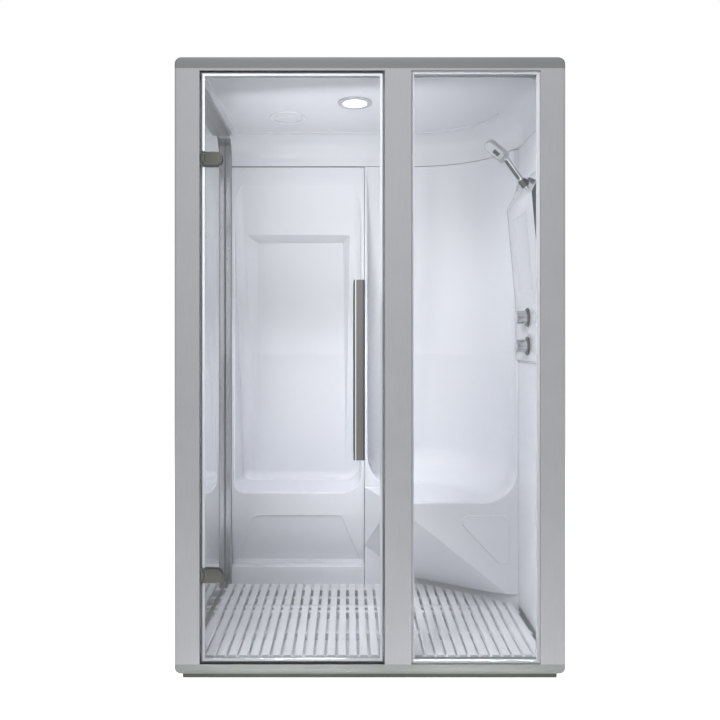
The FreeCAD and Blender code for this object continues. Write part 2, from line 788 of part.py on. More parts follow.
def left_emboss():
    """Trapezoid pressed into the left seat front, which it follows at an even depth."""
    foot = HEEL_FOOT
    top = SEAT_HEIGHT - EMBOSS_DROP
    low = inward(LEFT_MODULE_X, EMBOSS_FOOT_MARGIN)
    high = inward(LEFT_MODULE_X, EMBOSS_TOP_MARGIN)
    corners = [
        (low[0], foot, 0),
        (high[0], top, EMBOSS_RADIUS),
        (high[1], top, EMBOSS_RADIUS),
        (low[1], foot, 0),
    ]
    deepest = MODULE_FLANGE_DEPTH + HEEL_SCOOP + EMBOSS_DEPTH
    pressed = left_block(0)
    pressed.translate(Vector(0, EMBOSS_DEPTH, 0))
    return along_depth(corners, (MODULE_FLANGE_DEPTH - OVERRUN, deepest)).cut(pressed)


def left_back_field():
    """Field sunk into the left backrest, deep at its top edge and running out above the seat."""
    x0 = LEFT_MODULE_X[0] + BACK_FIELD_LEFT
    x1 = LEFT_MODULE_X[1] - BACK_FIELD_RIGHT
    z0 = SEAT_HEIGHT + BACK_FIELD_LIFT
    z1 = RECLINE_TOP - BACK_FIELD_DROP
    floor_top = z1 - BACK_FIELD_TOP_SLOPE

    def on_back(x, z, sink):
        return place(x, recline_depth(z) + sink, z)

    low = [on_back(x0 + BACK_FIELD_TAPER, z0, 0), on_back(x1 - BACK_FIELD_TAPER, z0, 0)]
    rim = [on_back(x0, z1, 0), on_back(x1, z1, 0)]
    floor = [
        on_back(x0 + BACK_FIELD_LEFT_SLOPE, floor_top, BACK_FIELD_DEPTH),
        on_back(x1 - BACK_FIELD_RIGHT_SLOPE, floor_top, BACK_FIELD_DEPTH),
    ]
    faces = [
        [low[0], low[1], rim[1], rim[0]],
        [low[0], low[1], floor[1], floor[0]],
        [rim[0], rim[1], floor[1], floor[0]],
        [low[0], rim[0], floor[0]],
        [low[1], rim[1], floor[1]],
    ]
    shell = Part.makeShell([Part.Face(Part.makePolygon(face + face[:1])) for face in faces])
    return Part.makeSolid(shell)


def seat_module_left():
    """White moulded module with a leaning backrest, a seat and a heel scoop."""
    outside = left_block(0)
    body = outside.cut(left_niche())
    x0, x1 = inward(LEFT_MODULE_X, FIT)

    def on_lip(point):
        return near(point.y, FRONT_Y + MODULE_FLANGE_DEPTH) and x0 < point.x < x1

    def on_emboss(point):
        beside = HEEL_FOOT + FIT < point.z < SEAT_HEIGHT - EMBOSS_DROP + FIT and x0 < point.x < x1
        return beside and not outside.isInside(point, PIVOT_CLEARANCE, False)

    body = body.makeFillet(LIP_RADIUS, edges_where(body, on_lip))
    field = left_back_field()
    behind_field = field.translated(Vector(0, MODULE_SHELL, 0))
    hollow = left_block(MODULE_SHELL).cut(left_recline(MODULE_SHELL)).cut(behind_field)
    body = body.cut(hollow).cut(left_emboss()).cut(field)
    return [body.makeFillet(EMBOSS_ROUND, edges_where(body, on_emboss))]


def room_cutter(inset):
    """Room space of the corner module: a rounded plan that leans back towards the seat."""
    left = CORNER_MODULE_X[0] + NICHE_EDGE - inset
    right = CORNER_MODULE_X[1] - CORNER_CHEEK + inset
    foot = CORNER_SEAT_HEIGHT - inset
    rise = MODULE_TOP + OVERRUN - foot
    lean = CORNER_RECLINE * rise / (MODULE_TOP - CORNER_SEAT_HEIGHT)
    rear = MODULE_FLANGE_DEPTH + CORNER_RECLINE + inset
    corners = [
        (left, 0, 0),
        (left, rear, 0),
        (right, rear, CORNER_ROUND + inset),
        (right, 0, 0),
    ]
    wire = outline(corners, lambda x, depth: place(x, depth, foot))
    return Part.Face(wire).extrude(Vector(0, -lean, rise))


def rounded_room():
    """Room space with its foot rounded where it meets the corner seat."""
    room = room_cutter(0)

    def on_foot(point):
        return near(point.z, CORNER_SEAT_HEIGHT) and not near(point.y, FRONT_Y)

    return room.makeFillet(CORNER_SEAT_FILLET, edges_where(room, on_foot))


def flank_corners():
    """Tip of the flank at the right wall, its foot at the left, and the seat's tip above."""
    return (
        place(CORNER_MODULE_X[1], FACET_DEPTH, MAT_TOP),
        place(FLANK_FOOT_X, FLANK_FOOT_DEPTH, MAT_TOP),
        place(SEAT_TIP_X, FACET_DEPTH, CORNER_SEAT_HEIGHT),
    )


def flank_normal():
    """Unit vector from the plane of the flank into the seat base."""
    tip, foot, top = flank_corners()
    return (foot - tip).cross(top - tip).normalize()


def behind_flank(inset):
    """Large block behind the plane of the flank."""
    size = CABIN_WIDTH
    slab = Part.makeBox(2 * size, 2 * size, size, Vector(-size, -size, 0))
    start = flank_corners()[0] + flank_normal() * inset
    slab.Placement = FreeCAD.Placement(start, Rotation(Vector(0, 0, 1), flank_normal()))
    return slab


def flank_bulge():
    """Belly on the flank: a cone between the ridge and the foot, above the kick."""
    tip, foot, top = flank_corners()
    middle = (foot + top) / 2 - flank_normal() * FLANK_BULGE
    section = Part.Wire([Part.Arc(top, middle, foot).toShape(), Part.makeLine(foot, top)])
    belly = Part.makeLoft([section, Part.Vertex(tip)], True)
    keep = block((LEFT_X, RIGHT_X), (0, CABIN_DEPTH), (FLANK_KICK_HEIGHT, CORNER_SEAT_HEIGHT))
    return belly.common(keep)


def corner_base(inset):
    """Seat base of the corner module: a facet, a receding flank and a kick under the flank."""
    x0 = CORNER_MODULE_X[0] + inset
    x1 = CORNER_MODULE_X[1] - inset
    front = FACET_DEPTH + inset
    rear = MODULE_FLANGE_DEPTH + inset
    foot = TRAY_TOP - (OVERRUN if inset else 0)
    seat = [(x0, rear, 0), (SEAT_TIP_X + inset, front, 0), (x1, front, 0), (x1, rear, 0)]
    kick = [
        (x0, rear, 0),
        (FLANK_FOOT_X + inset, FLANK_FOOT_DEPTH + inset, 0),
        (x1, front + inset, 0),
        (x1, rear, 0),
    ]
    body = along_z(seat, (FLANK_KICK_HEIGHT + inset, CORNER_SEAT_HEIGHT)).common(behind_flank(inset))
    return body.fuse(along_z(kick, (foot, FLANK_KICK_HEIGHT + inset)))


def corner_block(inset):
    """Outer body of the corner module before the room is cut, inset for the hollow."""
    x0 = CORNER_MODULE_X[0] + inset
    x1 = CORNER_MODULE_X[1] - inset
    top = MODULE_TOP - inset
    foot = TRAY_TOP - (OVERRUN if inset else 0)
    rear = MODULE_BACK + (OVERRUN if inset else 0)
    flange = MODULE_FLANGE_DEPTH + inset
    wall = block((x0, x1), (flange, rear), (foot, top))
    round_start = CORNER_MODULE_X[1] - CORNER_CHEEK - CORNER_ROUND
    corner = block((round_start, x1), (FACET_DEPTH + inset, flange), (CORNER_SEAT_HEIGHT - inset, top))
    return wall.multiFuse([corner, corner_base(inset)])


def corner_emboss():
    """Raised field on the facet, with one edge along the ridge."""
    right = CORNER_MODULE_X[1] - CORNER_EMBOSS_RIGHT_MARGIN
    top = CORNER_SEAT_HEIGHT - CORNER_EMBOSS_DROP
    corners = [
        (CORNER_EMBOSS_LEFT, top, EMBOSS_RADIUS),
        (right, top, EMBOSS_RADIUS),
        (right, top - CORNER_EMBOSS_HEIGHT, EMBOSS_RADIUS),
    ]
    front = FACET_DEPTH - CORNER_EMBOSS_RISE
    field = along_depth(corners, (front, FACET_DEPTH + MODULE_SHELL / 2))

    def on_front(point):
        return near(point.y, FRONT_Y + front)

    return field.makeFillet(EMBOSS_ROUND, edges_where(field, on_front))


def corner_lip(body, depth):
    """Round the rim of the room space where it meets an upright plane."""
    x0, x1 = inward(CORNER_MODULE_X, FIT)

    def on_rim(point):
        above_seat = CORNER_SEAT_HEIGHT - FIT < point.z < MODULE_TOP - FIT
        return above_seat and near(point.y, FRONT_Y + depth) and x0 < point.x < x1

    return body.makeFillet(LIP_RADIUS, edges_where(body, on_rim))


def seat_module_corner():
    """White moulded corner module with a rounded backrest and a seat on a receding base."""
    body = corner_block(0).cut(rounded_room())
    body = corner_lip(corner_lip(body, MODULE_FLANGE_DEPTH), FACET_DEPTH)
    hollow = corner_block(MODULE_SHELL).cut(room_cutter(MODULE_SHELL))
    body = body.fuse(flank_bulge()).cut(hollow).fuse(corner_emboss())
    hole = rod(*nozzle_axis(OVERRUN), NOZZLE_RADIUS + HOLE_CLEARANCE)
    return [body.cut(hole).removeSplitter()]


def bearer(module_x, depth, underside):
    """Welded frame of two legs and a cross tube under one seat."""
    middle = (module_x[0] + module_x[1]) / 2
    span = (middle - BEARER_SPAN / 2, middle + BEARER_SPAN / 2)
    depths = (depth, depth + BEARER_TUBE)
    frame = block(span, depths, (underside - BEARER_TUBE, underside))
    for x in (span[0], span[1] - BEARER_TUBE):
        frame = frame.fuse(block((x, x + BEARER_TUBE), depths, (TRAY_TOP, underside)))
    return frame.removeSplitter()


def seat_bearers():
    """One frame under each seat."""
    return [
        bearer(LEFT_MODULE_X, BACK_ZONE - LEFT_BEARER_GAP, SEAT_HEIGHT - MODULE_SHELL),
        bearer(CORNER_MODULE_X, BACK_ZONE - CORNER_BEARER_GAP, CORNER_SEAT_HEIGHT - MODULE_SHELL),
    ]


# Trims and ceiling


def corner_trim():
    """Aluminium profile between the left wall and the left module."""
    x0 = INNER_LEFT
    x1 = INNER_LEFT + CORNER_TRIM_WIDTH
    d0 = MODULE_FLANGE_DEPTH - CORNER_TRIM_LEAD
    d1 = d0 + CORNER_TRIM_DEPTH
    corners = [(x0, d0, TRIM_RADIUS), (x1, d0, TRIM_RADIUS), (x1, d1, 0), (x0, d1, 0)]
    return [along_z(corners, (TRAY_TOP, CEILING_HEIGHT))]


def trim_notch(inset):
    """Space for the corner profile where it passes the cove of the ceiling."""
    return block(
        (INNER_LEFT - OVERRUN, INNER_LEFT + CORNER_TRIM_WIDTH + FIT + inset),
        (MODULE_FLANGE_DEPTH - CEILING_FILLET - OVERRUN, MODULE_BACK + OVERRUN),
        (MODULE_TOP - OVERRUN, CEILING_HEIGHT + inset),
    )


def ceiling_trim():
    """Flat profile under the ceiling along the left wall."""
    x1 = INNER_LEFT + CEILING_TRIM_WIDTH
    foot = CEILING_HEIGHT - CEILING_TRIM_THICKNESS
    corners = [
        (INNER_LEFT, foot, 0),
        (x1, foot, TRIM_RADIUS),
        (x1, CEILING_HEIGHT, 0),
        (INNER_LEFT, CEILING_HEIGHT, 0),
    ]
    rear = MODULE_FLANGE_DEPTH - CEILING_FILLET
    return [along_depth(corners, (FRAME_DEPTH + FIT, rear))]


def ceiling_room(inset):
    """Room space under the ceiling, with its upper rim rounded."""
    left = INNER_LEFT - OVERRUN
    right = CORNER_MODULE_X[1] - CORNER_CHEEK + inset
    rear = MODULE_FLANGE_DEPTH + inset
    top = CEILING_HEIGHT + inset
    corners = [(left, 0, 0), (left, rear, 0), (right, rear, CORNER_ROUND + inset), (right, 0, 0)]
    room = along_z(corners, (MODULE_TOP - OVERRUN, top))

    def on_rim(point):
        return near(point.z, top) and not near(point.x, left) and not near(point.y, FRONT_Y)

    return room.makeFillet(CEILING_FILLET + inset, edges_where(room, on_rim))


def ceiling_field():
    """Raised field of the ceiling behind a sweeping front edge."""
    left = INNER_LEFT + CEILING_FIELD_MARGIN
    rear = MODULE_FLANGE_DEPTH - CEILING_FILLET
    right = CORNER_MODULE_X[1] - CORNER_CHEEK - CEILING_FILLET
    heights = (CEILING_HEIGHT - OVERRUN, CEILING_FIELD)
    flat = along_z(
        [(left, 0, 0), (left, rear, 0), (right, rear, CORNER_ROUND - CEILING_FILLET), (right, 0, 0)],
        heights,
    )
    start, middle, end = (place(*spot, heights[0]) for spot in (SWEEP_START, SWEEP_MIDDLE, SWEEP_END))
    rest = [
        end,
        place(RIGHT_X, SWEEP_END[1], heights[0]),
        place(RIGHT_X, CABIN_DEPTH, heights[0]),
        place(LEFT_X, CABIN_DEPTH, heights[0]),
        place(LEFT_X, SWEEP_START[1], heights[0]),
        start,
    ]
    edges = [Part.Arc(start, middle, end).toShape()]
    edges += [Part.makeLine(*pair) for pair in zip(rest, rest[1:])]
    behind = Part.Face(Part.Wire(edges)).extrude(Vector(0, 0, heights[1] - heights[0]))
    return flat.common(behind)


def ceiling_panel():
    """Moulded ceiling with a coved rear edge, a raised field and holes for the lamp and the vent."""
    x_span = inward((INNER_LEFT, INNER_RIGHT), FIT)
    depths = (FRAME_DEPTH + FIT, MODULE_BACK)
    body = block(x_span, depths, (MODULE_TOP + SEAM_GAP, ROOF_BOTTOM))
    body = body.cut(ceiling_room(0)).cut(trim_notch(0))
    inner = block(
        inward(x_span, MODULE_SHELL),
        (depths[0] + MODULE_SHELL, depths[1] + OVERRUN),
        (MODULE_TOP - OVERRUN, CEILING_HEIGHT),
    )
    inner = inner.cut(ceiling_room(MODULE_SHELL)).cut(trim_notch(MODULE_SHELL))
    body = body.cut(inner).cut(ceiling_field())
    lamp = rod(*ceiling_axis(LAMP_X, LAMP_DEPTH, -OVERRUN, OVERRUN), LAMP_BODY_RADIUS + FIT)
    vent = rod(*ceiling_axis(VENT_X, VENT_DEPTH, -OVERRUN, OVERRUN), VENT_SPIGOT_RADIUS + FIT)
    return [body.cut(lamp).cut(vent)]


def ceiling_axis(x, depth, low, high):
    """Two points above each other, given from the raised field of the ceiling."""
    return place(x, depth, CEILING_FIELD + low), place(x, depth, CEILING_FIELD + high)


def lamp_bezel():
    """Ring under the ceiling round the lens."""
    ring = rod(*ceiling_axis(LAMP_X, LAMP_DEPTH, -BEZEL_THICKNESS, 0), BEZEL_RADIUS)
    rim = edges_where(ring, lambda point: near(point.z, CEILING_FIELD - BEZEL_THICKNESS))
    ring = ring.makeFillet(BEZEL_THICKNESS / 2, rim)
    bore = rod(*ceiling_axis(LAMP_X, LAMP_DEPTH, -OVERRUN, OVERRUN), LENS_RADIUS + SLIDE_CLEARANCE)
    return [ring.cut(bore)]


def lamp_lens():
    """Frosted lens with a shallow dish below."""
    disc = rod(*ceiling_axis(LAMP_X, LAMP_DEPTH, -LENS_THICKNESS, 0), LENS_RADIUS)
    ball_radius = (LENS_RADIUS ** 2 + LENS_RISE ** 2) / (2 * LENS_RISE)
    centre = place(LAMP_X, LAMP_DEPTH, CEILING_FIELD - LENS_THICKNESS - LENS_RISE + ball_radius)
    dish = rod(*ceiling_axis(LAMP_X, LAMP_DEPTH, -LENS_THICKNESS - LENS_RISE, 0), LENS_RADIUS)
    return [disc.fuse(dish.common(Part.makeSphere(ball_radius, centre))).removeSplitter()]


def lamp_housing():
    """Closed can over the lens."""
    can = rod(*ceiling_axis(LAMP_X, LAMP_DEPTH, 0, LAMP_BODY_HEIGHT), LAMP_BODY_RADIUS)
    hollow = rod(
        *ceiling_axis(LAMP_X, LAMP_DEPTH, -OVERRUN, LAMP_BODY_HEIGHT - LAMP_WALL),
        LAMP_BODY_RADIUS - LAMP_WALL,
    )
    return [can.cut(hollow)]


def ceiling_vent():
    """Round vent with a spigot through the ceiling and a ring slot."""
    disc = rod(*ceiling_axis(VENT_X, VENT_DEPTH, -VENT_THICKNESS, 0), VENT_RADIUS)
    rim = edges_where(disc, lambda point: near(point.z, CEILING_FIELD - VENT_THICKNESS))
    disc = disc.makeFillet(VENT_THICKNESS / 2, rim)
    ends = ceiling_axis(VENT_X, VENT_DEPTH, -VENT_THICKNESS / 2, VENT_SPIGOT_HEIGHT)
    spigot = rod(*ends, VENT_SPIGOT_RADIUS)
    low = ceiling_axis(VENT_X, VENT_DEPTH, -OVERRUN, -VENT_THICKNESS / 2)
    groove = rod(*low, VENT_SLOT_RADIUS).cut(rod(*low, VENT_SLOT_RADIUS - VENT_SLOT))
    return [disc.fuse(spigot).cut(groove)]


# Door


def hinge_axis(height, low, high):
    """Two points on a hinge axis, given from the middle of the hinge."""
    return (
        place(HINGE_AXIS_X, HINGE_AXIS_SETBACK, height + low),
        place(HINGE_AXIS_X, HINGE_AXIS_SETBACK, height + high),
    )


def pin_bore(height):
    """Cutter for the pin of one hinge."""
    reach = HINGE_PLATE_HEIGHT / 2 + OVERRUN
    return rod(*hinge_axis(height, -reach, reach), HINGE_PIN_RADIUS + PIVOT_CLEARANCE)


def leaf_screw_axes():
    """Start and end of each screw that holds a hinge leaf to the post."""
    depth = LEAF_SETBACK + LEAF_DEPTH - LEAF_SCREW_INSET
    start = DOOR_BAY_LEFT + LEAF_THICKNESS
    axes = []
    for height in HINGE_HEIGHTS:
        for z in (height - LEAF_SCREW_SPREAD, height + LEAF_SCREW_SPREAD):
            axes.append((place(start, depth, z), place(start - LEAF_SCREW_LENGTH, depth, z)))
    return axes


def hinge_leaves():
    """Leaves on the left post with two knuckles each."""
    leaves = []
    half = HINGE_PLATE_HEIGHT / 2
    gap = KNUCKLE_HEIGHT / 2 + SLIDE_CLEARANCE
    span = (DOOR_BAY_LEFT, DOOR_BAY_LEFT + LEAF_THICKNESS)
    for height in HINGE_HEIGHTS:
        leaf = block(span, (LEAF_SETBACK, LEAF_SETBACK + LEAF_DEPTH), (height - half, height + half))
        notch = block(
            (span[0] - OVERRUN, span[1] + OVERRUN),
            (LEAF_SETBACK - OVERRUN, HINGE_AXIS_SETBACK + KNUCKLE_RADIUS + SLIDE_CLEARANCE),
            (height - gap, height + gap),
        )
        leaf = leaf.cut(notch)
        for low, high in ((gap, half), (-half, -gap)):
            leaf = leaf.fuse(rod(*hinge_axis(height, low, high), KNUCKLE_RADIUS))
        leaf = leaf.cut(pin_bore(height))
        for screw in leaf_screw_axes():
            leaf = leaf.cut(rod(*screw, LEAF_SCREW_RADIUS + HOLE_CLEARANCE))
        leaves.append(leaf)
    return leaves


def hinge_pins():
    """Headed pins through the knuckles."""
    half = HINGE_PLATE_HEIGHT / 2
    pins = []
    for height in HINGE_HEIGHTS:
        shank = rod(*hinge_axis(height, -half, half), HINGE_PIN_RADIUS)
        pins.append(shank.fuse(rod(*hinge_axis(height, half, half + PIN_HEAD_HEIGHT), KNUCKLE_RADIUS)))
    return pins


def leaf_screws():
    """Screws that hold the leaves to the post."""
    screws = []
    for start, end in leaf_screw_axes():
        head_top = start + Vector(LEAF_SCREW_HEAD, 0, 0)
        head = rod(start, head_top, LEAF_SCREW_HEAD_RADIUS)
        screws.append(rod(start, end, LEAF_SCREW_RADIUS).fuse(head))
    return screws


def clamp_screw_places(height):
    """Middles of the clamp screws of one hinge on X."""
    middle = (CLAMP_LEFT + CLAMP_RIGHT - KNUCKLE_RADIUS) / 2
    return [(middle - CLAMP_SCREW_SPREAD / 2, height), (middle + CLAMP_SCREW_SPREAD / 2, height)]


def clamp_screw(x, z, radius):
    """Screw through both clamp plates and the glass."""
    start = place(x, GLASS_SETBACK - HINGE_PLATE_THICKNESS, z)
    return rod(start, place(x, GLASS_BACK + HINGE_PLATE_THICKNESS, z), radius)


def clamp_plate(height, depth_span):
    """Plate with a round free end."""
    half = HINGE_PLATE_HEIGHT / 2
    corners = [
        (CLAMP_LEFT, height - half, KNUCKLE_RADIUS),
        (CLAMP_RIGHT, height - half, half - FIT),
        (CLAMP_RIGHT, height + half, half - FIT),
        (CLAMP_LEFT, height + half, KNUCKLE_RADIUS),
    ]
    plate = along_depth(corners, depth_span)
    for x, z in clamp_screw_places(height):
        plate = plate.cut(clamp_screw(x, z, CLAMP_SCREW_RADIUS + HOLE_CLEARANCE))
    return plate


def hinge_clamps():
    """Front clamp plates with their knuckles."""
    clamps = []
    front = GLASS_SETBACK - HINGE_PLATE_THICKNESS
    half = KNUCKLE_HEIGHT / 2
    for height in HINGE_HEIGHTS:
        web = block(
            (HINGE_AXIS_X, CLAMP_LEFT + KNUCKLE_RADIUS),
            (front, HINGE_AXIS_SETBACK + KNUCKLE_RADIUS / 2),
            (height - half, height + half),
        )
        clamp = clamp_plate(height, (front, GLASS_SETBACK)).fuse(web)
        clamp = clamp.fuse(rod(*hinge_axis(height, -half, half), KNUCKLE_RADIUS))
        clamps.append(clamp.cut(pin_bore(height)).removeSplitter())
    return clamps


def hinge_back_plates():
    """Clamp plates behind the glass."""
    return [
        clamp_plate(height, (GLASS_BACK, GLASS_BACK + HINGE_PLATE_THICKNESS)) for height in HINGE_HEIGHTS
    ]


def clamp_screws():
    """Screws of the clamp plates."""
    return [
        clamp_screw(x, z, CLAMP_SCREW_RADIUS)
        for height in HINGE_HEIGHTS
        for x, z in clamp_screw_places(height)
    ]


def handle_x():
    """Middle of the handle on X."""
    return DOOR_RIGHT - HANDLE_EDGE_DISTANCE


def stud_heights():
    """Heights of the two handle studs."""
    reach = HANDLE_LENGTH / 2 - STUD_END_DISTANCE
    return (HANDLE_CENTRE_HEIGHT - reach, HANDLE_CENTRE_HEIGHT + reach)


def stud_rod(z, start, end, radius):
    """Rod through the door at the handle, between two depths."""
    return rod(place(handle_x(), start, z), place(handle_x(), end, z), radius)


def door_glass():
    """Toughened pane drilled for the hinges and the handle."""
    pane = block((DOOR_LEFT, DOOR_RIGHT), (GLASS_SETBACK, GLASS_BACK), (DOOR_BOTTOM, DOOR_TOP))
    for height in HINGE_HEIGHTS:
        for x, z in clamp_screw_places(height):
            pane = pane.cut(clamp_screw(x, z, CLAMP_SCREW_RADIUS + HOLE_CLEARANCE))
    for z in stud_heights():
        hole = stud_rod(z, GLASS_SETBACK - OVERRUN, GLASS_BACK + OVERRUN, STUD_RADIUS + HOLE_CLEARANCE)
        pane = pane.cut(hole)
    return [pane]


def handle_bar(depth_span):
    """Flat upright bar with softened edges."""
    half = HANDLE_LENGTH / 2
    bar = block(
        (handle_x() - HANDLE_WIDTH / 2, handle_x() + HANDLE_WIDTH / 2),
        depth_span,
        (HANDLE_CENTRE_HEIGHT - half, HANDLE_CENTRE_HEIGHT + half),
    )
    return [bar.makeFillet(HANDLE_EDGE_RADIUS, bar.Edges)]


def handle_outer():
    """Bar on the outside of the door."""
    rear = GLASS_SETBACK - HANDLE_STANDOFF
    return handle_bar((rear - HANDLE_THICKNESS, rear))


def handle_inner():
    """Bar on the inside of the door."""
    front = GLASS_BACK + HANDLE_STANDOFF
    return handle_bar((front, front + HANDLE_THICKNESS))


def handle_studs():
    """Studs through the glass with a flange on each side of it."""
    studs = []
    for z in stud_heights():
        stud = stud_rod(z, GLASS_SETBACK - HANDLE_STANDOFF, GLASS_BACK + HANDLE_STANDOFF, STUD_RADIUS)
        front = stud_rod(z, GLASS_SETBACK - STUD_FLANGE, GLASS_SETBACK, STUD_FLANGE_RADIUS)
        rear = stud_rod(z, GLASS_BACK, GLASS_BACK + STUD_FLANGE, STUD_FLANGE_RADIUS)
        studs.append(stud.multiFuse([front, rear]))
    return studs


def seal_strip(x_span, z_span):
    """Channel strip over an edge of the door glass."""
    strip = block(x_span, (GLASS_SETBACK - SEAL_WALL, GLASS_BACK + SEAL_WALL), z_span)
    pane = block((DOOR_LEFT, DOOR_RIGHT), (GLASS_SETBACK, GLASS_BACK), (DOOR_BOTTOM, DOOR_TOP))
    return strip.cut(pane)


def door_seals():
    """Strips at the top, the bottom and the hinge side, which stops short of the hinges."""
    low = DOOR_BOTTOM - SEAL_WALL
    high = DOOR_TOP + SEAL_WALL
    wide = (DOOR_LEFT - SEAL_WALL, DOOR_RIGHT + SEAL_WALL)
    edge = (DOOR_LEFT - SEAL_WALL, DOOR_LEFT - SEAL_WALL + SEAL_WIDTH)
    strips = [
        seal_strip(wide, (low, low + SEAL_WIDTH)),
        seal_strip(wide, (high - SEAL_WIDTH, high)),
    ]
    half = HINGE_PLATE_HEIGHT / 2 + PIN_HEAD_HEIGHT + FIT
    stops = [low + SEAL_WIDTH]
    for height in HINGE_HEIGHTS:
        stops += [height - half, height + half]
    stops.append(high - SEAL_WIDTH)
    strips += [seal_strip(edge, pair) for pair in zip(stops[::2], stops[1::2])]
    return strips


def latch_seal():
    """Magnetic strip on the free edge of the door."""
    right = DOOR_RIGHT + SEAL_WALL
    heights = (DOOR_BOTTOM - SEAL_WALL + SEAL_WIDTH, DOOR_TOP + SEAL_WALL - SEAL_WIDTH)
    return [seal_strip((right - SEAL_WIDTH, right), heights)]


def magnet_strip():
    """Magnet strip on the centre post beside the latch seal."""
    middle = (GLASS_SETBACK + GLASS_BACK) / 2
    return [
        block(
            (DOOR_BAY_RIGHT - MAGNET_THICKNESS, DOOR_BAY_RIGHT),
            (middle - MAGNET_WIDTH / 2, middle + MAGNET_WIDTH / 2),
            (BASE_TOP, HEADER_BOTTOM),
        )
    ]


# Fixed pane


def pane_block(clearance):
    """Fixed pane, grown by a clearance for the grooves."""
    inset = BEAD_WIDTH - BEAD_GROOVE - clearance
    return block(
        (PANE_BAY_LEFT + inset, PANE_BAY_RIGHT - inset),
        (GLASS_SETBACK - clearance, GLASS_BACK + clearance),
        (BASE_TOP + inset, HEADER_BOTTOM - inset),
    )


def fixed_pane():
    """Pane at the right of the door."""
    return [pane_block(0)]


def glazing_beads():
    """Four grooved beads round the fixed pane."""
    middle = (GLASS_SETBACK + GLASS_BACK) / 2
    depths = (middle - BEAD_DEPTH / 2, middle + BEAD_DEPTH / 2)
    x0, x1 = PANE_BAY_LEFT, PANE_BAY_RIGHT
    sides = (BASE_TOP + BEAD_WIDTH, HEADER_BOTTOM - BEAD_WIDTH)
    bars = [
        block((x0, x1), depths, (BASE_TOP, sides[0])),
        block((x0, x1), depths, (sides[1], HEADER_BOTTOM)),
        block((x0, x0 + BEAD_WIDTH), depths, sides),
        block((x1 - BEAD_WIDTH, x1), depths, sides),
    ]
    return [bar.cut(pane_block(HOLE_CLEARANCE)) for bar in bars]


# Shower panel and its knobs


def shower_profile(skin):
    """Outline of the leaning panel in x and z, inset by a skin."""
    wall = INNER_RIGHT + (OVERRUN if skin else 0)
    radius = 0 if skin else SHOWER_EDGE_RADIUS
    top_drop = skin * (SHOWER_TOP - SHOWER_NOSE_HEIGHT) / SHOWER_NOSE_REACH
    return [
        (wall, SHOWER_FOOT + skin, 0),
        (SHOWER_FACE_X + skin, SHOWER_FOOT + skin, radius),
        (SHOWER_FACE_X + skin, SHOWER_KNEE, 0),
        (SHOWER_NOSE_X + skin, SHOWER_NOSE_HEIGHT, radius),
        (INNER_RIGHT, SHOWER_TOP - top_drop, 0),
    ] + ([(wall, SHOWER_TOP - top_drop, 0)] if skin else [])


def shower_panel():
    """Leaning white panel, open towards the wall, with a sunk field."""
    depths = (SHOWER_NEAR, SHOWER_FAR)
    panel = along_depth(shower_profile(0), depths)
    panel = panel.cut(along_depth(shower_profile(SHOWER_SKIN), inward(depths, SHOWER_SKIN)))
    for height in KNOB_HEIGHTS:
        panel = panel.cut(spindle(height, SPINDLE_RADIUS + HOLE_CLEARANCE))
    slope = (SHOWER_NOSE_X - SHOWER_FACE_X) / (SHOWER_NOSE_HEIGHT - SHOWER_KNEE)
    low = SHOWER_KNEE + SHOWER_FIELD_LIFT
    high = SHOWER_NOSE_HEIGHT - SHOWER_FIELD_LIFT
    low_x = SHOWER_FACE_X + slope * (low - SHOWER_KNEE) + SHOWER_FIELD_DEPTH
    high_x = SHOWER_FACE_X + slope * (high - SHOWER_KNEE) + SHOWER_FIELD_DEPTH
    field = [(low_x - OVERRUN, low, 0), (low_x, low, 0), (high_x, high, 0), (high_x - OVERRUN, high, 0)]
    return [panel.cut(along_depth(field, inward(depths, SHOWER_FIELD_MARGIN)))]


def shower_end_cap():
    """Dark cap on the near end of the panel."""
    return [along_depth(shower_profile(0), (SHOWER_NEAR - SHOWER_SKIN, SHOWER_NEAR))]


def knob_base():
    """Where the knobs start on X."""
    return SHOWER_FACE_X - ROSETTE_THICKNESS - SLIDE_CLEARANCE


def spindle(height, radius):
    """Valve spindle from behind the liner into a knob."""
    start = place(INNER_RIGHT + LINER_THICKNESS, KNOB_DEPTH, height)
    return rod(start, place(knob_base() - SPINDLE_ENGAGE, KNOB_DEPTH, height), radius)


def mixer_valve():
    """Valve body in the wall gap with two spindles."""
    low, high = KNOB_HEIGHTS
    gap_end = RIGHT_X - PANEL_INSET - PANEL_THICKNESS
    body = block(
        (INNER_RIGHT + LINER_THICKNESS, gap_end - VALVE_CLEARANCE),
        (KNOB_DEPTH - VALVE_WIDTH / 2, KNOB_DEPTH + VALVE_WIDTH / 2),
        (low - VALVE_END, high + VALVE_END),
    )
    return [body.multiFuse([spindle(height, SPINDLE_RADIUS) for height in KNOB_HEIGHTS])]


def knob_rosettes():
    """Round plates between the panel and the knobs."""
    rosettes = []
    for height in KNOB_HEIGHTS:
        start = place(SHOWER_FACE_X, KNOB_DEPTH, height)
        end = place(SHOWER_FACE_X - ROSETTE_THICKNESS, KNOB_DEPTH, height)
        disc = rod(start, end, ROSETTE_RADIUS)
        rim = edges_where(disc, lambda point: near(point.x, end.x))
        disc = disc.makeFillet(ROSETTE_THICKNESS / 2, rim)
        rosettes.append(disc.cut(spindle(height, SPINDLE_RADIUS + HOLE_CLEARANCE)))
    return rosettes


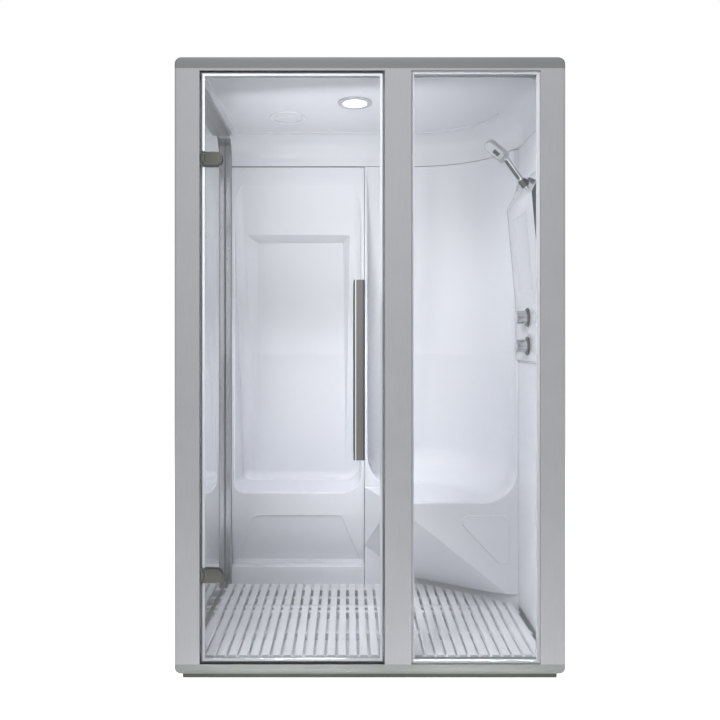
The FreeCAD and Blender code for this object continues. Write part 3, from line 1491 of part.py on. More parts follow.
def knob(height):
    """Grooved knob with a pointer rib on its end."""
    start = place(knob_base(), KNOB_DEPTH, height)
    end = start - Vector(KNOB_LENGTH, 0, 0)
    body = rod(start, end, KNOB_RADIUS)
    rim = edges_where(body, lambda point: near(point.x, end.x))
    body = body.makeFillet(KNOB_EDGE_RADIUS, rim)
    for index in range(KNOB_GROOVES):
        turn = 2 * math.pi * index / KNOB_GROOVES
        offset = Vector(0, math.cos(turn), math.sin(turn)) * KNOB_RADIUS
        body = body.cut(rod(start + offset, end + offset, KNOB_GROOVE_RADIUS))
    half = POINTER_WIDTH / 2
    pointer = block(
        (end.x - POINTER_RISE, end.x + POINTER_RISE),
        (KNOB_DEPTH - half, KNOB_DEPTH + half),
        (height, height + KNOB_RADIUS - KNOB_EDGE_RADIUS),
    )
    return [body.fuse(pointer).cut(spindle(height, SPINDLE_RADIUS + PIVOT_CLEARANCE))]


def flow_knob():
    """Lower knob."""
    return knob(KNOB_HEIGHTS[0])


def thermostat_knob():
    """Upper knob."""
    return knob(KNOB_HEIGHTS[1])


# Hand shower


def handle_direction():
    """Unit vector up the handle of the hand shower."""
    lean = math.radians(HANDLE_LEAN_DEGREES)
    return Vector(-math.sin(lean), 0, math.cos(lean))


def on_handle(distance):
    """Point on the handle's axis, measured from its foot."""
    foot = place(SHOWER_NOSE_X - HANDSET_REACH, HANDSET_DEPTH, SHOWER_NOSE_HEIGHT + HANDSET_LIFT)
    return foot + handle_direction() * distance


def in_head(shape):
    """Shape moved from the head's own axes: X across, Y out of the spray face, Z along the head."""
    lean = math.radians(HEAD_LEAN_DEGREES)
    turn = math.radians(HEAD_TURN_DEGREES)
    along = Vector(-math.sin(lean), 0, math.cos(lean))
    below = Vector(-math.cos(lean), 0, -math.sin(lean))
    face = below * math.cos(turn) + Vector(0, -1, 0) * math.sin(turn)
    rotation = Rotation(face.cross(along), face, along, "ZYX")
    moved = shape.copy()
    moved.Placement = FreeCAD.Placement(on_handle(HANDSET_HANDLE_LENGTH), rotation)
    return moved


def head_slab(width, length, start, low, high, radius):
    """Rounded slab in the head's own axes."""
    half = width / 2
    corners = [
        (-half, start, radius),
        (half, start, radius),
        (half, start + length, half - FIT),
        (-half, start + length, half - FIT),
    ]
    wire = outline(corners, lambda x, z: Vector(x, low, z))
    return Part.Face(wire).extrude(Vector(0, high - low, 0))


def button_slot(clearance, low, high):
    """Button block in the head's own axes."""
    middle = (HEAD_LENGTH - HEAD_WIDTH / 2) / 2
    return Part.makeBox(
        BUTTON_WIDTH + 2 * clearance,
        high - low,
        BUTTON_LENGTH + 2 * clearance,
        Vector(-BUTTON_WIDTH / 2 - clearance, low, middle - BUTTON_LENGTH / 2 - clearance),
    )


def plate_level():
    """Outer face of the spray plate in the head's own axes."""
    return HEAD_THICKNESS / 2 + SPRAY_PLATE_THICKNESS


def button_foot():
    """Inner face of the button in the head's own axes."""
    return plate_level() + BUTTON_PROUD - BUTTON_HEIGHT


def handset_shell():
    """Handle with a collar and a flat oval head."""
    collar_start = CUP_START + CUP_LENGTH + SLIDE_CLEARANCE
    grip = rod(on_handle(0), on_handle(HANDSET_HANDLE_LENGTH), HANDSET_GRIP_RADIUS)
    collar = rod(on_handle(collar_start), on_handle(collar_start + HANDSET_COLLAR), HANDSET_COLLAR_RADIUS)
    half = HEAD_THICKNESS / 2
    slab = head_slab(HEAD_WIDTH, HEAD_LENGTH, -HEAD_EDGE_RADIUS, -half, half, HANDSET_GRIP_RADIUS)
    rim = edges_where(slab, lambda point: near(point.y, -half))
    slab = slab.makeFillet(HEAD_EDGE_RADIUS, rim)
    pocket = button_slot(SLIDE_CLEARANCE, button_foot() - BUTTON_TRAVEL_ROOM, half + OVERRUN)
    neck = Part.makeSphere(HANDSET_GRIP_RADIUS, on_handle(HANDSET_HANDLE_LENGTH))
    return [in_head(slab).multiFuse([grip, collar, neck]).cut(in_head(pocket))]


def spray_plate():
    """Plate on the spray face with an opening for the button."""
    width = HEAD_WIDTH - 2 * SPRAY_PLATE_MARGIN
    low = HEAD_THICKNESS / 2
    start = HANDSET_GRIP_RADIUS
    length = HEAD_LENGTH - HEAD_EDGE_RADIUS - start - SPRAY_PLATE_MARGIN
    plate = head_slab(width, length, start, low, plate_level(), HANDSET_GRIP_RADIUS)
    return [in_head(plate.cut(button_slot(SLIDE_CLEARANCE, low - OVERRUN, low + OVERRUN)))]


def spray_button():
    """Rectangular button in the spray face."""
    button = button_slot(0, button_foot(), plate_level() + BUTTON_PROUD)
    return [in_head(button)]


def hose_union():
    """Threaded end of the handle for a hose."""
    return [rod(on_handle(-UNION_LENGTH), on_handle(0), UNION_RADIUS)]


def panel_normal():
    """Unit vector out of the panel's upper slope."""
    slope = Vector(INNER_RIGHT - SHOWER_NOSE_X, 0, SHOWER_TOP - SHOWER_NOSE_HEIGHT)
    return Vector(-slope.z, 0, slope.x).normalize()


def cup_radius():
    """Outer radius of the holder's cup."""
    return HANDSET_GRIP_RADIUS + SLIDE_CLEARANCE + CUP_WALL


def holder_pivot():
    """Middle of the pivot between the holder and its bracket, beside the cup."""
    along = handle_direction()
    beside = Vector(along.z, 0, -along.x)
    middle = on_handle(CUP_START + CUP_LENGTH / 2)
    return middle + beside * (cup_radius() + EAR_RADIUS + SLIDE_CLEARANCE)


def arm(start, end, half_width, half_depth):
    """Flat arm between two points in a plane of constant depth."""
    along = (end - start).normalize()
    across = Vector(-along.z, 0, along.x) * half_width
    corners = [start + across, end + across, end - across, start - across]
    shift = Vector(0, -half_depth, 0)
    wire = Part.makePolygon([corner + shift for corner in corners + corners[:1]])
    return Part.Face(wire).extrude(shift * -2)


def pivot_rod(half_depth, radius):
    """Rod along the depth through the pivot."""
    shift = Vector(0, half_depth, 0)
    return rod(holder_pivot() - shift, holder_pivot() + shift, radius)


def handset_holder():
    """Tilting cup with the lug of its pivot."""
    start = CUP_START
    cup = rod(on_handle(start), on_handle(start + CUP_LENGTH), cup_radius())
    half = LUG_WIDTH / 2
    web = arm(on_handle(start + CUP_LENGTH / 2), holder_pivot(), LUG_RADIUS, half)
    body = cup.multiFuse([web, pivot_rod(half, LUG_RADIUS)])
    bore_radius = cup_radius() - CUP_WALL
    bore = rod(on_handle(start - OVERRUN), on_handle(start + CUP_LENGTH + OVERRUN), bore_radius)
    pin = pivot_rod(half + OVERRUN, HOLDER_PIN_RADIUS + PIVOT_CLEARANCE)
    return [body.cut(bore).cut(pin)]


def holder_bracket():
    """Two ears on the panel's upper slope, and the pin through them."""
    normal = panel_normal()
    nose = place(SHOWER_NOSE_X, HANDSET_DEPTH, SHOWER_NOSE_HEIGHT)
    height = (holder_pivot() - nose).dot(normal)
    foot = holder_pivot() - normal * height
    inner = LUG_WIDTH / 2 + SLIDE_CLEARANCE
    outer = inner + EAR_THICKNESS
    pin_hole = pivot_rod(outer + OVERRUN, HOLDER_PIN_RADIUS + PIVOT_CLEARANCE)
    whole = arm(foot, holder_pivot(), EAR_RADIUS, outer).fuse(pivot_rod(outer, EAR_RADIUS))
    gap = arm(foot - normal * OVERRUN, holder_pivot() + normal * OVERRUN, EAR_RADIUS + OVERRUN, inner)
    return whole.cut(gap).cut(pin_hole).Solids + [pivot_rod(outer, HOLDER_PIN_RADIUS)]


# Services


def inlet_places():
    """Middles of the two water inlets on X."""
    return (INLET_X - INLET_SPACING, INLET_X)


def inlet_rod(x, radius, start, end):
    """Rod through the back panel, with ends given from its outer face."""
    rear = CABIN_DEPTH - PANEL_INSET
    return rod(place(x, rear + start, INLET_HEIGHT), place(x, rear + end, INLET_HEIGHT), radius)


def water_inlets():
    """Threaded stubs at the back, each with a nut inside the panel and a collar outside it."""
    inlets = []
    for x in inlet_places():
        stub = inlet_rod(x, INLET_RADIUS, -PANEL_THICKNESS - INLET_NUT, INLET_LENGTH)
        nut = inlet_rod(x, INLET_NUT_RADIUS, -PANEL_THICKNESS - INLET_NUT, -PANEL_THICKNESS)
        bore = inlet_rod(x, INLET_BORE_RADIUS, -OVERRUN - INLET_NUT, INLET_LENGTH + OVERRUN)
        collar = inlet_rod(x, INLET_NUT_RADIUS, 0, INLET_COLLAR)
        inlets.append(stub.multiFuse([nut, collar]).cut(bore))
    return inlets


def boiler_tank():
    """Horizontal steam boiler on two saddles, open where the heating flange closes it."""
    start = place(BOILER_X, BOILER_DEPTH, BOILER_HEIGHT)
    end = start + Vector(BOILER_LENGTH, 0, 0)
    tank = rod(start, end, BOILER_RADIUS)
    feet = inward((BOILER_X, BOILER_X + BOILER_LENGTH - BOILER_FOOT_WIDTH), BOILER_FOOT_INSET)
    for x in feet:
        saddle = block(
            (x, x + BOILER_FOOT_WIDTH),
            (BOILER_DEPTH - BOILER_RADIUS / 2, BOILER_DEPTH + BOILER_RADIUS / 2),
            (TRAY_TOP, BOILER_HEIGHT),
        )
        tank = tank.fuse(saddle)
    bottom = start + Vector(BOILER_WALL, 0, 0)
    hollow = rod(bottom, end + Vector(OVERRUN, 0, 0), BOILER_RADIUS - BOILER_WALL)
    return [tank.removeSplitter().cut(hollow)]


def boiler_fittings():
    """Heating flange on the boiler's end and fill valve on its top."""
    start = place(BOILER_X + BOILER_LENGTH, BOILER_DEPTH, BOILER_HEIGHT)
    flange_end = start + Vector(HEATER_FLANGE, 0, 0)
    heater = rod(start, flange_end, BOILER_RADIUS)
    heater = heater.fuse(rod(flange_end, flange_end + Vector(HEATER_LENGTH, 0, 0), HEATER_RADIUS))
    middle = BOILER_X + BOILER_LENGTH / 2
    half = FILL_VALVE_WIDTH / 2
    crown = BOILER_HEIGHT + BOILER_RADIUS
    valve = block(
        (middle - half, middle + half),
        (BOILER_DEPTH - half, BOILER_DEPTH + half),
        (BOILER_HEIGHT, crown + FILL_VALVE_HEIGHT),
    )
    tank_start = place(BOILER_X, BOILER_DEPTH, BOILER_HEIGHT)
    return [heater, valve.cut(rod(tank_start, start, BOILER_RADIUS))]


def nozzle_axis(extra):
    """Front and back end of the steam nozzle, lengthened for a cut."""
    return (
        place(NOZZLE_X, MODULE_FLANGE_DEPTH - NOZZLE_REACH - extra, BOILER_HEIGHT),
        place(NOZZLE_X, MODULE_FLANGE_DEPTH + NOZZLE_TAIL + extra, BOILER_HEIGHT),
    )


def steam_pipe():
    """Bent pipe from the boiler's end to the nozzle."""
    start = place(BOILER_X, BOILER_DEPTH, BOILER_HEIGHT)
    bend_start = place(NOZZLE_X + STEAM_PIPE_BEND, BOILER_DEPTH, BOILER_HEIGHT)
    centre = place(NOZZLE_X + STEAM_PIPE_BEND, BOILER_DEPTH - STEAM_PIPE_BEND, BOILER_HEIGHT)
    middle = centre + Vector(-1, 1, 0).normalize() * STEAM_PIPE_BEND
    bend_end = place(NOZZLE_X, BOILER_DEPTH - STEAM_PIPE_BEND, BOILER_HEIGHT)
    end = nozzle_axis(0)[1]
    route = Part.Wire(
        [
            Part.makeLine(start, bend_start),
            Part.Arc(bend_start, middle, bend_end).toShape(),
            Part.makeLine(bend_end, end),
        ]
    )
    ring = Part.Wire(Part.makeCircle(STEAM_PIPE_RADIUS, start, Vector(1, 0, 0)))
    return [route.makePipeShell([ring], True, False)]


def steam_nozzle():
    """Nozzle through the base of the corner seat."""
    front, back = nozzle_axis(0)
    bore_end = front + Vector(0, NOZZLE_RADIUS, 0)
    bore = rod(front - Vector(0, OVERRUN, 0), bore_end, NOZZLE_BORE_RADIUS)
    return [rod(front, back, NOZZLE_RADIUS).cut(bore)]


def control_box():
    """Closed box for the boiler's controls."""
    rear = MODULE_BACK
    right = INNER_RIGHT - CONTROL_BOX_MARGIN
    box = block(
        (right - CONTROL_BOX_WIDTH, right),
        (rear - CONTROL_BOX_DEPTH, rear),
        (TRAY_TOP, TRAY_TOP + CONTROL_BOX_HEIGHT),
    )
    return [box.makeFillet(CONTROL_BOX_RADIUS, upright_edges(box))]


def build():
    """Write one file per node, named after the function that makes it."""
    os.makedirs("parts", exist_ok=True)
    makers = [
        plinth, base_rail_front, base_rails_rear, roof_cap, post_left, post_centre, post_right,
        rear_posts, header_rail, side_panels, back_panel, wall_liner_left, wall_liner_right,
        floor_tray, drain_outlet, floor_mat_front, floor_mat_rear, seat_module_left,
        seat_module_corner, seat_bearers, corner_trim, ceiling_trim, ceiling_panel, lamp_bezel,
        lamp_lens, lamp_housing, ceiling_vent, hinge_leaves, hinge_pins, leaf_screws, hinge_clamps,
        hinge_back_plates, clamp_screws, door_glass, handle_outer, handle_inner, handle_studs,
        door_seals, latch_seal, magnet_strip, fixed_pane, glazing_beads, shower_panel,
        shower_end_cap, mixer_valve, knob_rosettes, flow_knob, thermostat_knob, handset_shell,
        spray_plate, spray_button, hose_union, handset_holder, holder_bracket, water_inlets,
        boiler_tank, boiler_fittings, steam_pipe, steam_nozzle, control_box,
    ]
    for maker in makers:
        solids = maker()
        shape = solids[0] if len(solids) == 1 else Part.makeCompound(solids)
        shape.exportStep("parts/%s.step" % maker.__name__)


build()
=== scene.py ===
"""Looks of a steam room: finishes, softened edges, redrawn hinges, an inlay, light and camera.

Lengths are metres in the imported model's frame: X right, Y to the back, Z up from the floor.
"""
import math

import bmesh
import bpy
from mathutils import Matrix, Vector


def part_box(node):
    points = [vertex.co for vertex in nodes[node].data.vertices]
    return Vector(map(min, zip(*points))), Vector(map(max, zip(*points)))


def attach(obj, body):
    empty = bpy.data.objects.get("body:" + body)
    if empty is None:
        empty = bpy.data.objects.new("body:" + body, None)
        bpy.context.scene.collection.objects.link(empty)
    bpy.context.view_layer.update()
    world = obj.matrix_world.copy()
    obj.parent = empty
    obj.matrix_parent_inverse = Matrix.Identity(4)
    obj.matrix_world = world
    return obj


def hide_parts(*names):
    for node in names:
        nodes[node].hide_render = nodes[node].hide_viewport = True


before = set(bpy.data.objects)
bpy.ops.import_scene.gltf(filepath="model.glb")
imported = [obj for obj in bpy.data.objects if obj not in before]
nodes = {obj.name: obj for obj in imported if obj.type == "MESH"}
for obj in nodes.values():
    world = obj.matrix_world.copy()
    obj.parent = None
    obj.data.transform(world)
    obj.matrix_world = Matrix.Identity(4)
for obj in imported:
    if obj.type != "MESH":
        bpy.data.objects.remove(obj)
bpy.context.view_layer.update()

# Camera of the photograph
PHOTO_WIDTH = 720
FOCAL_PIXELS = 676.4
SENSOR_WIDTH = 36.0
CAMERA_PLACE = (-0.078, -2.9825, 1.228)
VANISHING_PIXEL = (348, 335)

# Colours as linear shares of red, green and blue
SILVER_SHARES = (0.350, 0.354, 0.368)
# Frame silver darkened as painted shade on the roof cap
SHADED_SILVER_SHARES = (0.203, 0.208, 0.211)
# Silver darkened as painted shade near the floor: the base rail, and darker the plinth
SHADED_RAIL_SHARES = (0.245, 0.257, 0.248)
SHADED_PLINTH_SHARES = (0.10, 0.105, 0.094)
STEEL_SHARES = (0.17, 0.17, 0.17)
HINGE_SHARES = (0.105, 0.105, 0.097)
TRIM_SHARES = (0.30, 0.30, 0.33)
CHROME_SHARES = (0.62, 0.63, 0.65)
BRASS_SHARES = (0.52, 0.37, 0.16)
ACRYLIC_SHARES = (0.70, 0.715, 0.765)
# White acrylic darkened as painted shade on the shower panel
SHADED_SHOWER_SHARES = (0.58, 0.593, 0.636)
MIRROR_SHARES = (0.83, 0.85, 0.86)
OUTSIDE_SHARES = (0.50, 0.51, 0.52)
SLAT_SHARES = (0.64, 0.65, 0.68)
SEAL_SHARES = (0.70, 0.72, 0.76)
MAGNET_SHARES = (0.13, 0.135, 0.145)
DARK_SHARES = (0.055, 0.058, 0.072)
# Colour of painted shade lines: shadowed gaps at the door seals and shower panel, and the handles'
# edge
SHADE_LINE_SHARES = (0.10, 0.105, 0.12)
PLATE_SHARES = (0.50, 0.52, 0.54)
GLASS_SHARES = (0.985, 0.99, 0.992)
LENS_SHARES = (1.0, 1.0, 1.0)
FLOOR_SHARES = (0.80, 0.80, 0.80)
WHITE = (1.0, 1.0, 1.0)

# Patterns: scale and detail of each noise, and scale of the lens's rings
METAL_LINES = (700, 2.0)
METAL_CLOUD = (9, 3.0)
SHEET_CLOUD = (3.5, 4.0)
SHEET_WAVE = (26, 2.0)
MATT_SPECK = (900, 2.0)
MATT_CLOUD = (12, 3.0)
MIRROR_SMEAR = (3.0, 4.0)
GLASS_SMEAR = (2.2, 4.0)
LENS_RINGS = 55.0

# Factors from the darkest to the lightest spot of a finish
METAL_TINTS = (0.86, 1.14)
SHEET_TINTS = (0.965, 1.03)
MATT_TINTS = (0.9, 1.08)
MIRROR_TINTS = (0.97, 1.02)
LENS_TINTS = (0.85, 1.0)

# Shares of the stronger and the fainter pattern where a colour has two
STRONG_SHARE = 0.6
FAINT_SHARE = 0.4

# Roughness: what a finish loses at its smoothest spot, and what each pattern adds at most
METAL_POLISH = 0.08
METAL_LINE_ROUGHNESS = 0.10
METAL_CLOUD_ROUGHNESS = 0.06
SHEET_POLISH = 0.03
SHEET_WAVE_ROUGHNESS = 0.06
MATT_POLISH = 0.06
MATT_SPECK_ROUGHNESS = 0.12
MIRROR_SMEAR_ROUGHNESS = 0.05
GLASS_SMEAR_ROUGHNESS = 0.012

# Roughness of the clean mirror, the clear coat and the lens, and refraction of the glass
MIRROR_ROUGHNESS = 0.01
COAT_ROUGHNESS = 0.06
LENS_ROUGHNESS = 0.25
GLASS_INDEX = 1.45

# Bumps: height in metres, and strength where it is the same for every use
METAL_BUMP = 0.0004
SHEET_BUMP = 0.002
SHEET_BUMP_STRENGTH = 0.05
MATT_BUMP = 0.0005
LENS_BUMP = 0.001
LENS_BUMP_STRENGTH = 0.3

# Studio floor
FLOOR_SIZE = 40
FLOOR_GLOW = 0.93

# Glow of the ceiling lamp's lens
LENS_GLOW = 1.6

# Backdrop: strength as a light, and strength in reflections by the direction's X
AMBIENT = 0.10
GLOSS_PEAK = 1.75
GLOSS_PEAK_X = -0.03
GLOSS_FALL = 7.0
GLOSS_LEAST = 1.0

# Dark painted shade lines for shadowed gaps: the outer lip of the door seals and the far edge of
# the shower panel
LIP_SHADE_WIDTH = 0.0045
FAR_SHADE_WIDTH = 0.010

# Painted light along the door handles: ends of a painted shade line and a painted highlight from
# the hinge side, width and darkening of painted shade along the far edge, and the highlight's
# colour
HANDLE_SHADE_END = 0.0055
HANDLE_HIGHLIGHT_END = 0.0095
HANDLE_FAR_SHADE_WIDTH = 0.008
HANDLE_FAR_SHADE_FACTOR = 0.6
HANDLE_HIGHLIGHT_SHARES = (0.62, 0.62, 0.60)

# Door hinges: clamp plates with one round end, and their knuckles
HINGE_HALF = 0.025
HINGE_PLATE = 0.0088
HINGE_OFFSET = 0.007
HINGE_ROUND = 0.0245
HINGE_BEVEL = 0.003
KNUCKLE_RADIUS = 0.0047
KNUCKLE_HALF = 0.012
KNUCKLE_ROUND = 0.0005

# Dark inlay on the spray side of the hand shower's handle, between two shares of its length
HANDLE_FOOT = Vector((0.599, -0.4175, 1.788))
HANDLE_HEAD = Vector((0.51789, -0.4175, 1.89964))
INLAY_START = 0.29
INLAY_END = 0.95
INLAY_RADIUS = 0.0098
INLAY_SHIFT = Vector((-0.0016, -0.0008, -0.0012))
INLAY_ROUND = 0.004

# Rounding of the softened copies and steps of round shapes
PANEL_ROUND = 0.003
PANEL_STEPS = 3
HANDLE_ROUND = 0.007
HANDLE_STEPS = 5
HINGE_END_STEPS = 12
HINGE_BEVEL_STEPS = 4
ROD_STEPS = 6
LATHE_STEPS = 48

# Points that merge, and angles of flat joins, of edges to round and of smooth shading
MERGE_DISTANCE = 0.00002
FLAT_ANGLE = math.radians(0.5)
SHARP_ANGLE = math.radians(25)
SMOOTH_ANGLE = math.radians(40)

# Colour sockets of the Mix node, which shares their names with its other kinds
MIX_LOW = 6
MIX_HIGH = 7
MIX_RESULT = 2


class Shade:
    """A shader value. Sums on it add Math nodes, and node() adds any other node."""

    def __init__(self, tree, socket=None):
        self.tree = tree
        self.socket = socket

    def node(self, kind, settings=None, inputs=None, output=0):
        """New node with its settings made first, then its sockets; returns one of its outputs."""
        made = self.tree.nodes.new(kind)
        for name, value in (settings or {}).items():
            setattr(made, name, value)
        for name, value in (inputs or {}).items():
            if isinstance(value, Shade):
                self.tree.links.new(value.socket, made.inputs[name])
            else:
                made.inputs[name].default_value = value
        return Shade(self.tree, made.outputs[output] if made.outputs else None)

    def maths(self, operation, *values):
        """Math node on values."""
        return self.node("ShaderNodeMath", {"operation": operation}, dict(enumerate(values)))

    def __add__(self, other):
        return self.maths("ADD", self, other)

    def __sub__(self, other):
        return self.maths("SUBTRACT", self, other)

    def __rsub__(self, other):
        return self.maths("SUBTRACT", other, self)

    def __mul__(self, other):
        return self.maths("MULTIPLY", self, other)

    __radd__ = __add__
    __rmul__ = __mul__

    def larger(self, other):
        """The larger of two values."""
        return self.maths("MAXIMUM", self, other)

    def above(self, limit):
        """1 where the value is above a limit, else 0."""
        return self.maths("GREATER_THAN", self, limit)

    def below(self, limit):
        """1 where the value is below a limit, else 0."""
        return self.maths("LESS_THAN", self, limit)

    def places(self, stretch):
        """Object coordinates times a factor on each axis."""
        spot = self.node("ShaderNodeTexCoord", output="Object")
        return self.node("ShaderNodeMapping", inputs={"Vector": spot, "Scale": stretch})

    def noise(self, scale, detail, stretch=(1, 1, 1)):
        """Noise from 0 to 1 over the piece."""
        inputs = {"Vector": self.places(stretch), "Scale": scale, "Detail": detail}
        return self.node("ShaderNodeTexNoise", inputs=inputs)

    def tint(self, share, low, high):
        """Colour between two colours by a share."""
        low, high = (colour if isinstance(colour, Shade) else (*colour, 1)
                     for colour in (low, high))
        inputs = {"Factor": share, MIX_LOW: low, MIX_HIGH: high}
        return self.node("ShaderNodeMix", {"data_type": "RGBA"}, inputs, MIX_RESULT)

    def mottled(self, share, shares, factors):
        """Colour that varies between a darker and a lighter factor of itself."""
        return self.tint(share, *(scaled(shares, factor) for factor in factors))

    def axis(self, name):
        """Object coordinate on one axis."""
        spot = self.node("ShaderNodeTexCoord", output="Object")
        return self.node("ShaderNodeSeparateXYZ", inputs={"Vector": spot}, output=name)

    def bump(self, height, strength, distance):
        """Normal raised by a height."""
        inputs = {"Height": height, "Strength": strength, "Distance": distance}
        return self.node("ShaderNodeBump", inputs=inputs)

    def surface(self, inputs):
        """Principled surface."""
        return self.node("ShaderNodeBsdfPrincipled", inputs=inputs)


def new_tree(name):
    """Empty material and a starting point in its node tree."""
    material = bpy.data.materials.new(name)
    material.use_nodes = True
    material.node_tree.nodes.clear()
    return material, Shade(material.node_tree)


def put_out(shade, surface):
    """Connect a surface to the material's output."""
    shade.node("ShaderNodeOutputMaterial", inputs={"Surface": surface})


def scaled(shares, factor):
    """Colour made lighter or darker."""
    return tuple(min(1.0, share * factor) for share in shares)


def metal(name, shares, roughness, grain, depth, edges=None):
    """Metal with fine lines along one axis, a cloudy polish and perhaps painted highlight and
    shade lines at its edges.
    """
    material, shade = new_tree(name)
    lines = shade.noise(*METAL_LINES, grain)
    cloud = shade.noise(*METAL_CLOUD)
    sheet = shade.mottled(lines * STRONG_SHARE + cloud * FAINT_SHARE, shares, METAL_TINTS)
    polish = roughness - METAL_POLISH + lines * METAL_LINE_ROUGHNESS
    inputs = {
        # Where given, edges paints highlight and shade lines into the colour
        "Base Color": edges(shade, sheet) if edges else sheet,
        "Roughness": polish + cloud * METAL_CLOUD_ROUGHNESS,
        "Metallic": 1.0,
        "Normal": shade.bump(lines, depth, METAL_BUMP),
    }
    put_out(shade, shade.surface(inputs))
    return material


def door_gap_shade(shade):
    """Share of the painted shade line, for the shadowed gap, along the outer edge of the door
    seals.
    """
    low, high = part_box("door_seals")
    x, z = shade.axis("X"), shade.axis("Z")
    outside = (low.x + LIP_SHADE_WIDTH - x).larger(x - (high.x - LIP_SHADE_WIDTH))
    outside = outside.larger(low.z + LIP_SHADE_WIDTH - z).larger(z - (high.z - LIP_SHADE_WIDTH))
    return outside.above(0.0)


def shower_gap_shade(shade):
    """Share of the painted shade line, for the shadowed gap, along the far edge of the shower
    panel.
    """
    return shade.axis("Y").above(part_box("shower_panel")[1].y - FAR_SHADE_WIDTH)


def handle_painted_light(shade, sheet):
    """Colour of the door handles: a painted shade line and a painted highlight at one edge, and
    painted shade along the far edge.
    """
    low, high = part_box("handle_outer")
    across = shade.axis("X")
    edge_highlit = shade.tint(across.below(low.x + HANDLE_HIGHLIGHT_END), sheet, HANDLE_HIGHLIGHT_SHARES)
    edge_shaded = shade.tint(across.below(low.x + HANDLE_SHADE_END), edge_highlit, SHADE_LINE_SHARES)
    far_shade_shares = scaled(STEEL_SHARES, HANDLE_FAR_SHADE_FACTOR)
    return shade.tint(across.above(high.x - HANDLE_FAR_SHADE_WIDTH), edge_shaded, far_shade_shares)


def moulding(name, shares, roughness, coat, painted_shade_line=None):
    """Glossy moulded sheet with faint clouding, a slightly wavy gloss and perhaps a painted shade
    line.
    """
    material, shade = new_tree(name)
    cloud = shade.noise(*SHEET_CLOUD)
    wave = shade.noise(*SHEET_WAVE)
    sheet = shade.mottled(cloud, shares, SHEET_TINTS)
    inputs = {
        "Base Color": shade.tint(painted_shade_line(shade), sheet, SHADE_LINE_SHARES) if painted_shade_line else sheet,
        "Roughness": roughness - SHEET_POLISH + wave * SHEET_WAVE_ROUGHNESS,
        "Coat Weight": coat,
        "Coat Roughness": COAT_ROUGHNESS,
        "Normal": shade.bump(wave, SHEET_BUMP_STRENGTH, SHEET_BUMP),
    }
    put_out(shade, shade.surface(inputs))
    return material


def matt(name, shares, roughness, grain, depth, painted_shade_line=None):
    """Matt plastic or rubber with a fine grain and perhaps a painted shade line."""
    material, shade = new_tree(name)
    speck = shade.noise(*MATT_SPECK, grain)
    cloud = shade.noise(*MATT_CLOUD)
    sheet = shade.mottled(cloud * STRONG_SHARE + speck * FAINT_SHARE, shares, MATT_TINTS)
    inputs = {
        "Base Color": shade.tint(painted_shade_line(shade), sheet, SHADE_LINE_SHARES) if painted_shade_line else sheet,
        "Roughness": roughness - MATT_POLISH + speck * MATT_SPECK_ROUGHNESS,
        "Normal": shade.bump(speck, depth, MATT_BUMP),
    }
    put_out(shade, shade.surface(inputs))
    return material


def mirror(name, shares):
    """Silvered mirror with faint smears."""
    material, shade = new_tree(name)
    smear = shade.noise(*MIRROR_SMEAR)
    inputs = {
        "Base Color": shade.mottled(smear, shares, MIRROR_TINTS),
        "Roughness": MIRROR_ROUGHNESS + smear * MIRROR_SMEAR_ROUGHNESS,
        "Metallic": 1.0,
    }
    put_out(shade, shade.surface(inputs))
    return material


def clear_glass(name, shares):
    """Clear pane that lets the lamps through."""
    material, shade = new_tree(name)
    smear = shade.noise(*GLASS_SMEAR)
    inputs = {
        "Base Color": (*shares, 1),
        "Roughness": smear * GLASS_SMEAR_ROUGHNESS,
        "Transmission Weight": 1.0,
        "IOR": GLASS_INDEX,
    }
    pane = shade.surface(inputs)
    path = "ShaderNodeLightPath"
    lamp_ray = shade.node(path, output="Is Shadow Ray")
    lamp_ray = lamp_ray.larger(shade.node(path, output="Is Diffuse Ray"))
    through = shade.node("ShaderNodeBsdfTransparent", inputs={"Color": (*shares, 1)})
    put_out(shade, shade.node("ShaderNodeMixShader", inputs={0: lamp_ray, 1: pane, 2: through}))
    return material


def glowing_lens(name, shares, strength):
    """Frosted lens lit from behind, with fine rings."""
    material, shade = new_tree(name)
    low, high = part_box("lamp_lens")
    middle = (low + high) / 2
    spot = shade.node("ShaderNodeTexCoord", output="Object")
    centred = shade.node("ShaderNodeMapping", inputs={"Vector": spot, "Location": tuple(-middle)})
    settings = {"wave_type": "RINGS", "rings_direction": "Z"}
    pattern = {"Vector": centred, "Scale": LENS_RINGS}
    rings = shade.node("ShaderNodeTexWave", settings, pattern, "Fac")
    inputs = {
        "Base Color": (*shares, 1),
        "Roughness": LENS_ROUGHNESS,
        "Emission Color": shade.mottled(rings, shares, LENS_TINTS),
        "Emission Strength": strength,
        "Normal": shade.bump(rings, LENS_BUMP_STRENGTH, LENS_BUMP),
    }
    put_out(shade, shade.surface(inputs))
    return material


# Factors on the coordinates: fine lines run along the axis with the small one
UPRIGHT_GRAIN = (1, 1, 0.02)
LEVEL_GRAIN = (0.02, 1, 1)
DEPTH_GRAIN = (1, 0.02, 1)
EVEN_GRAIN = (1, 1, 1)

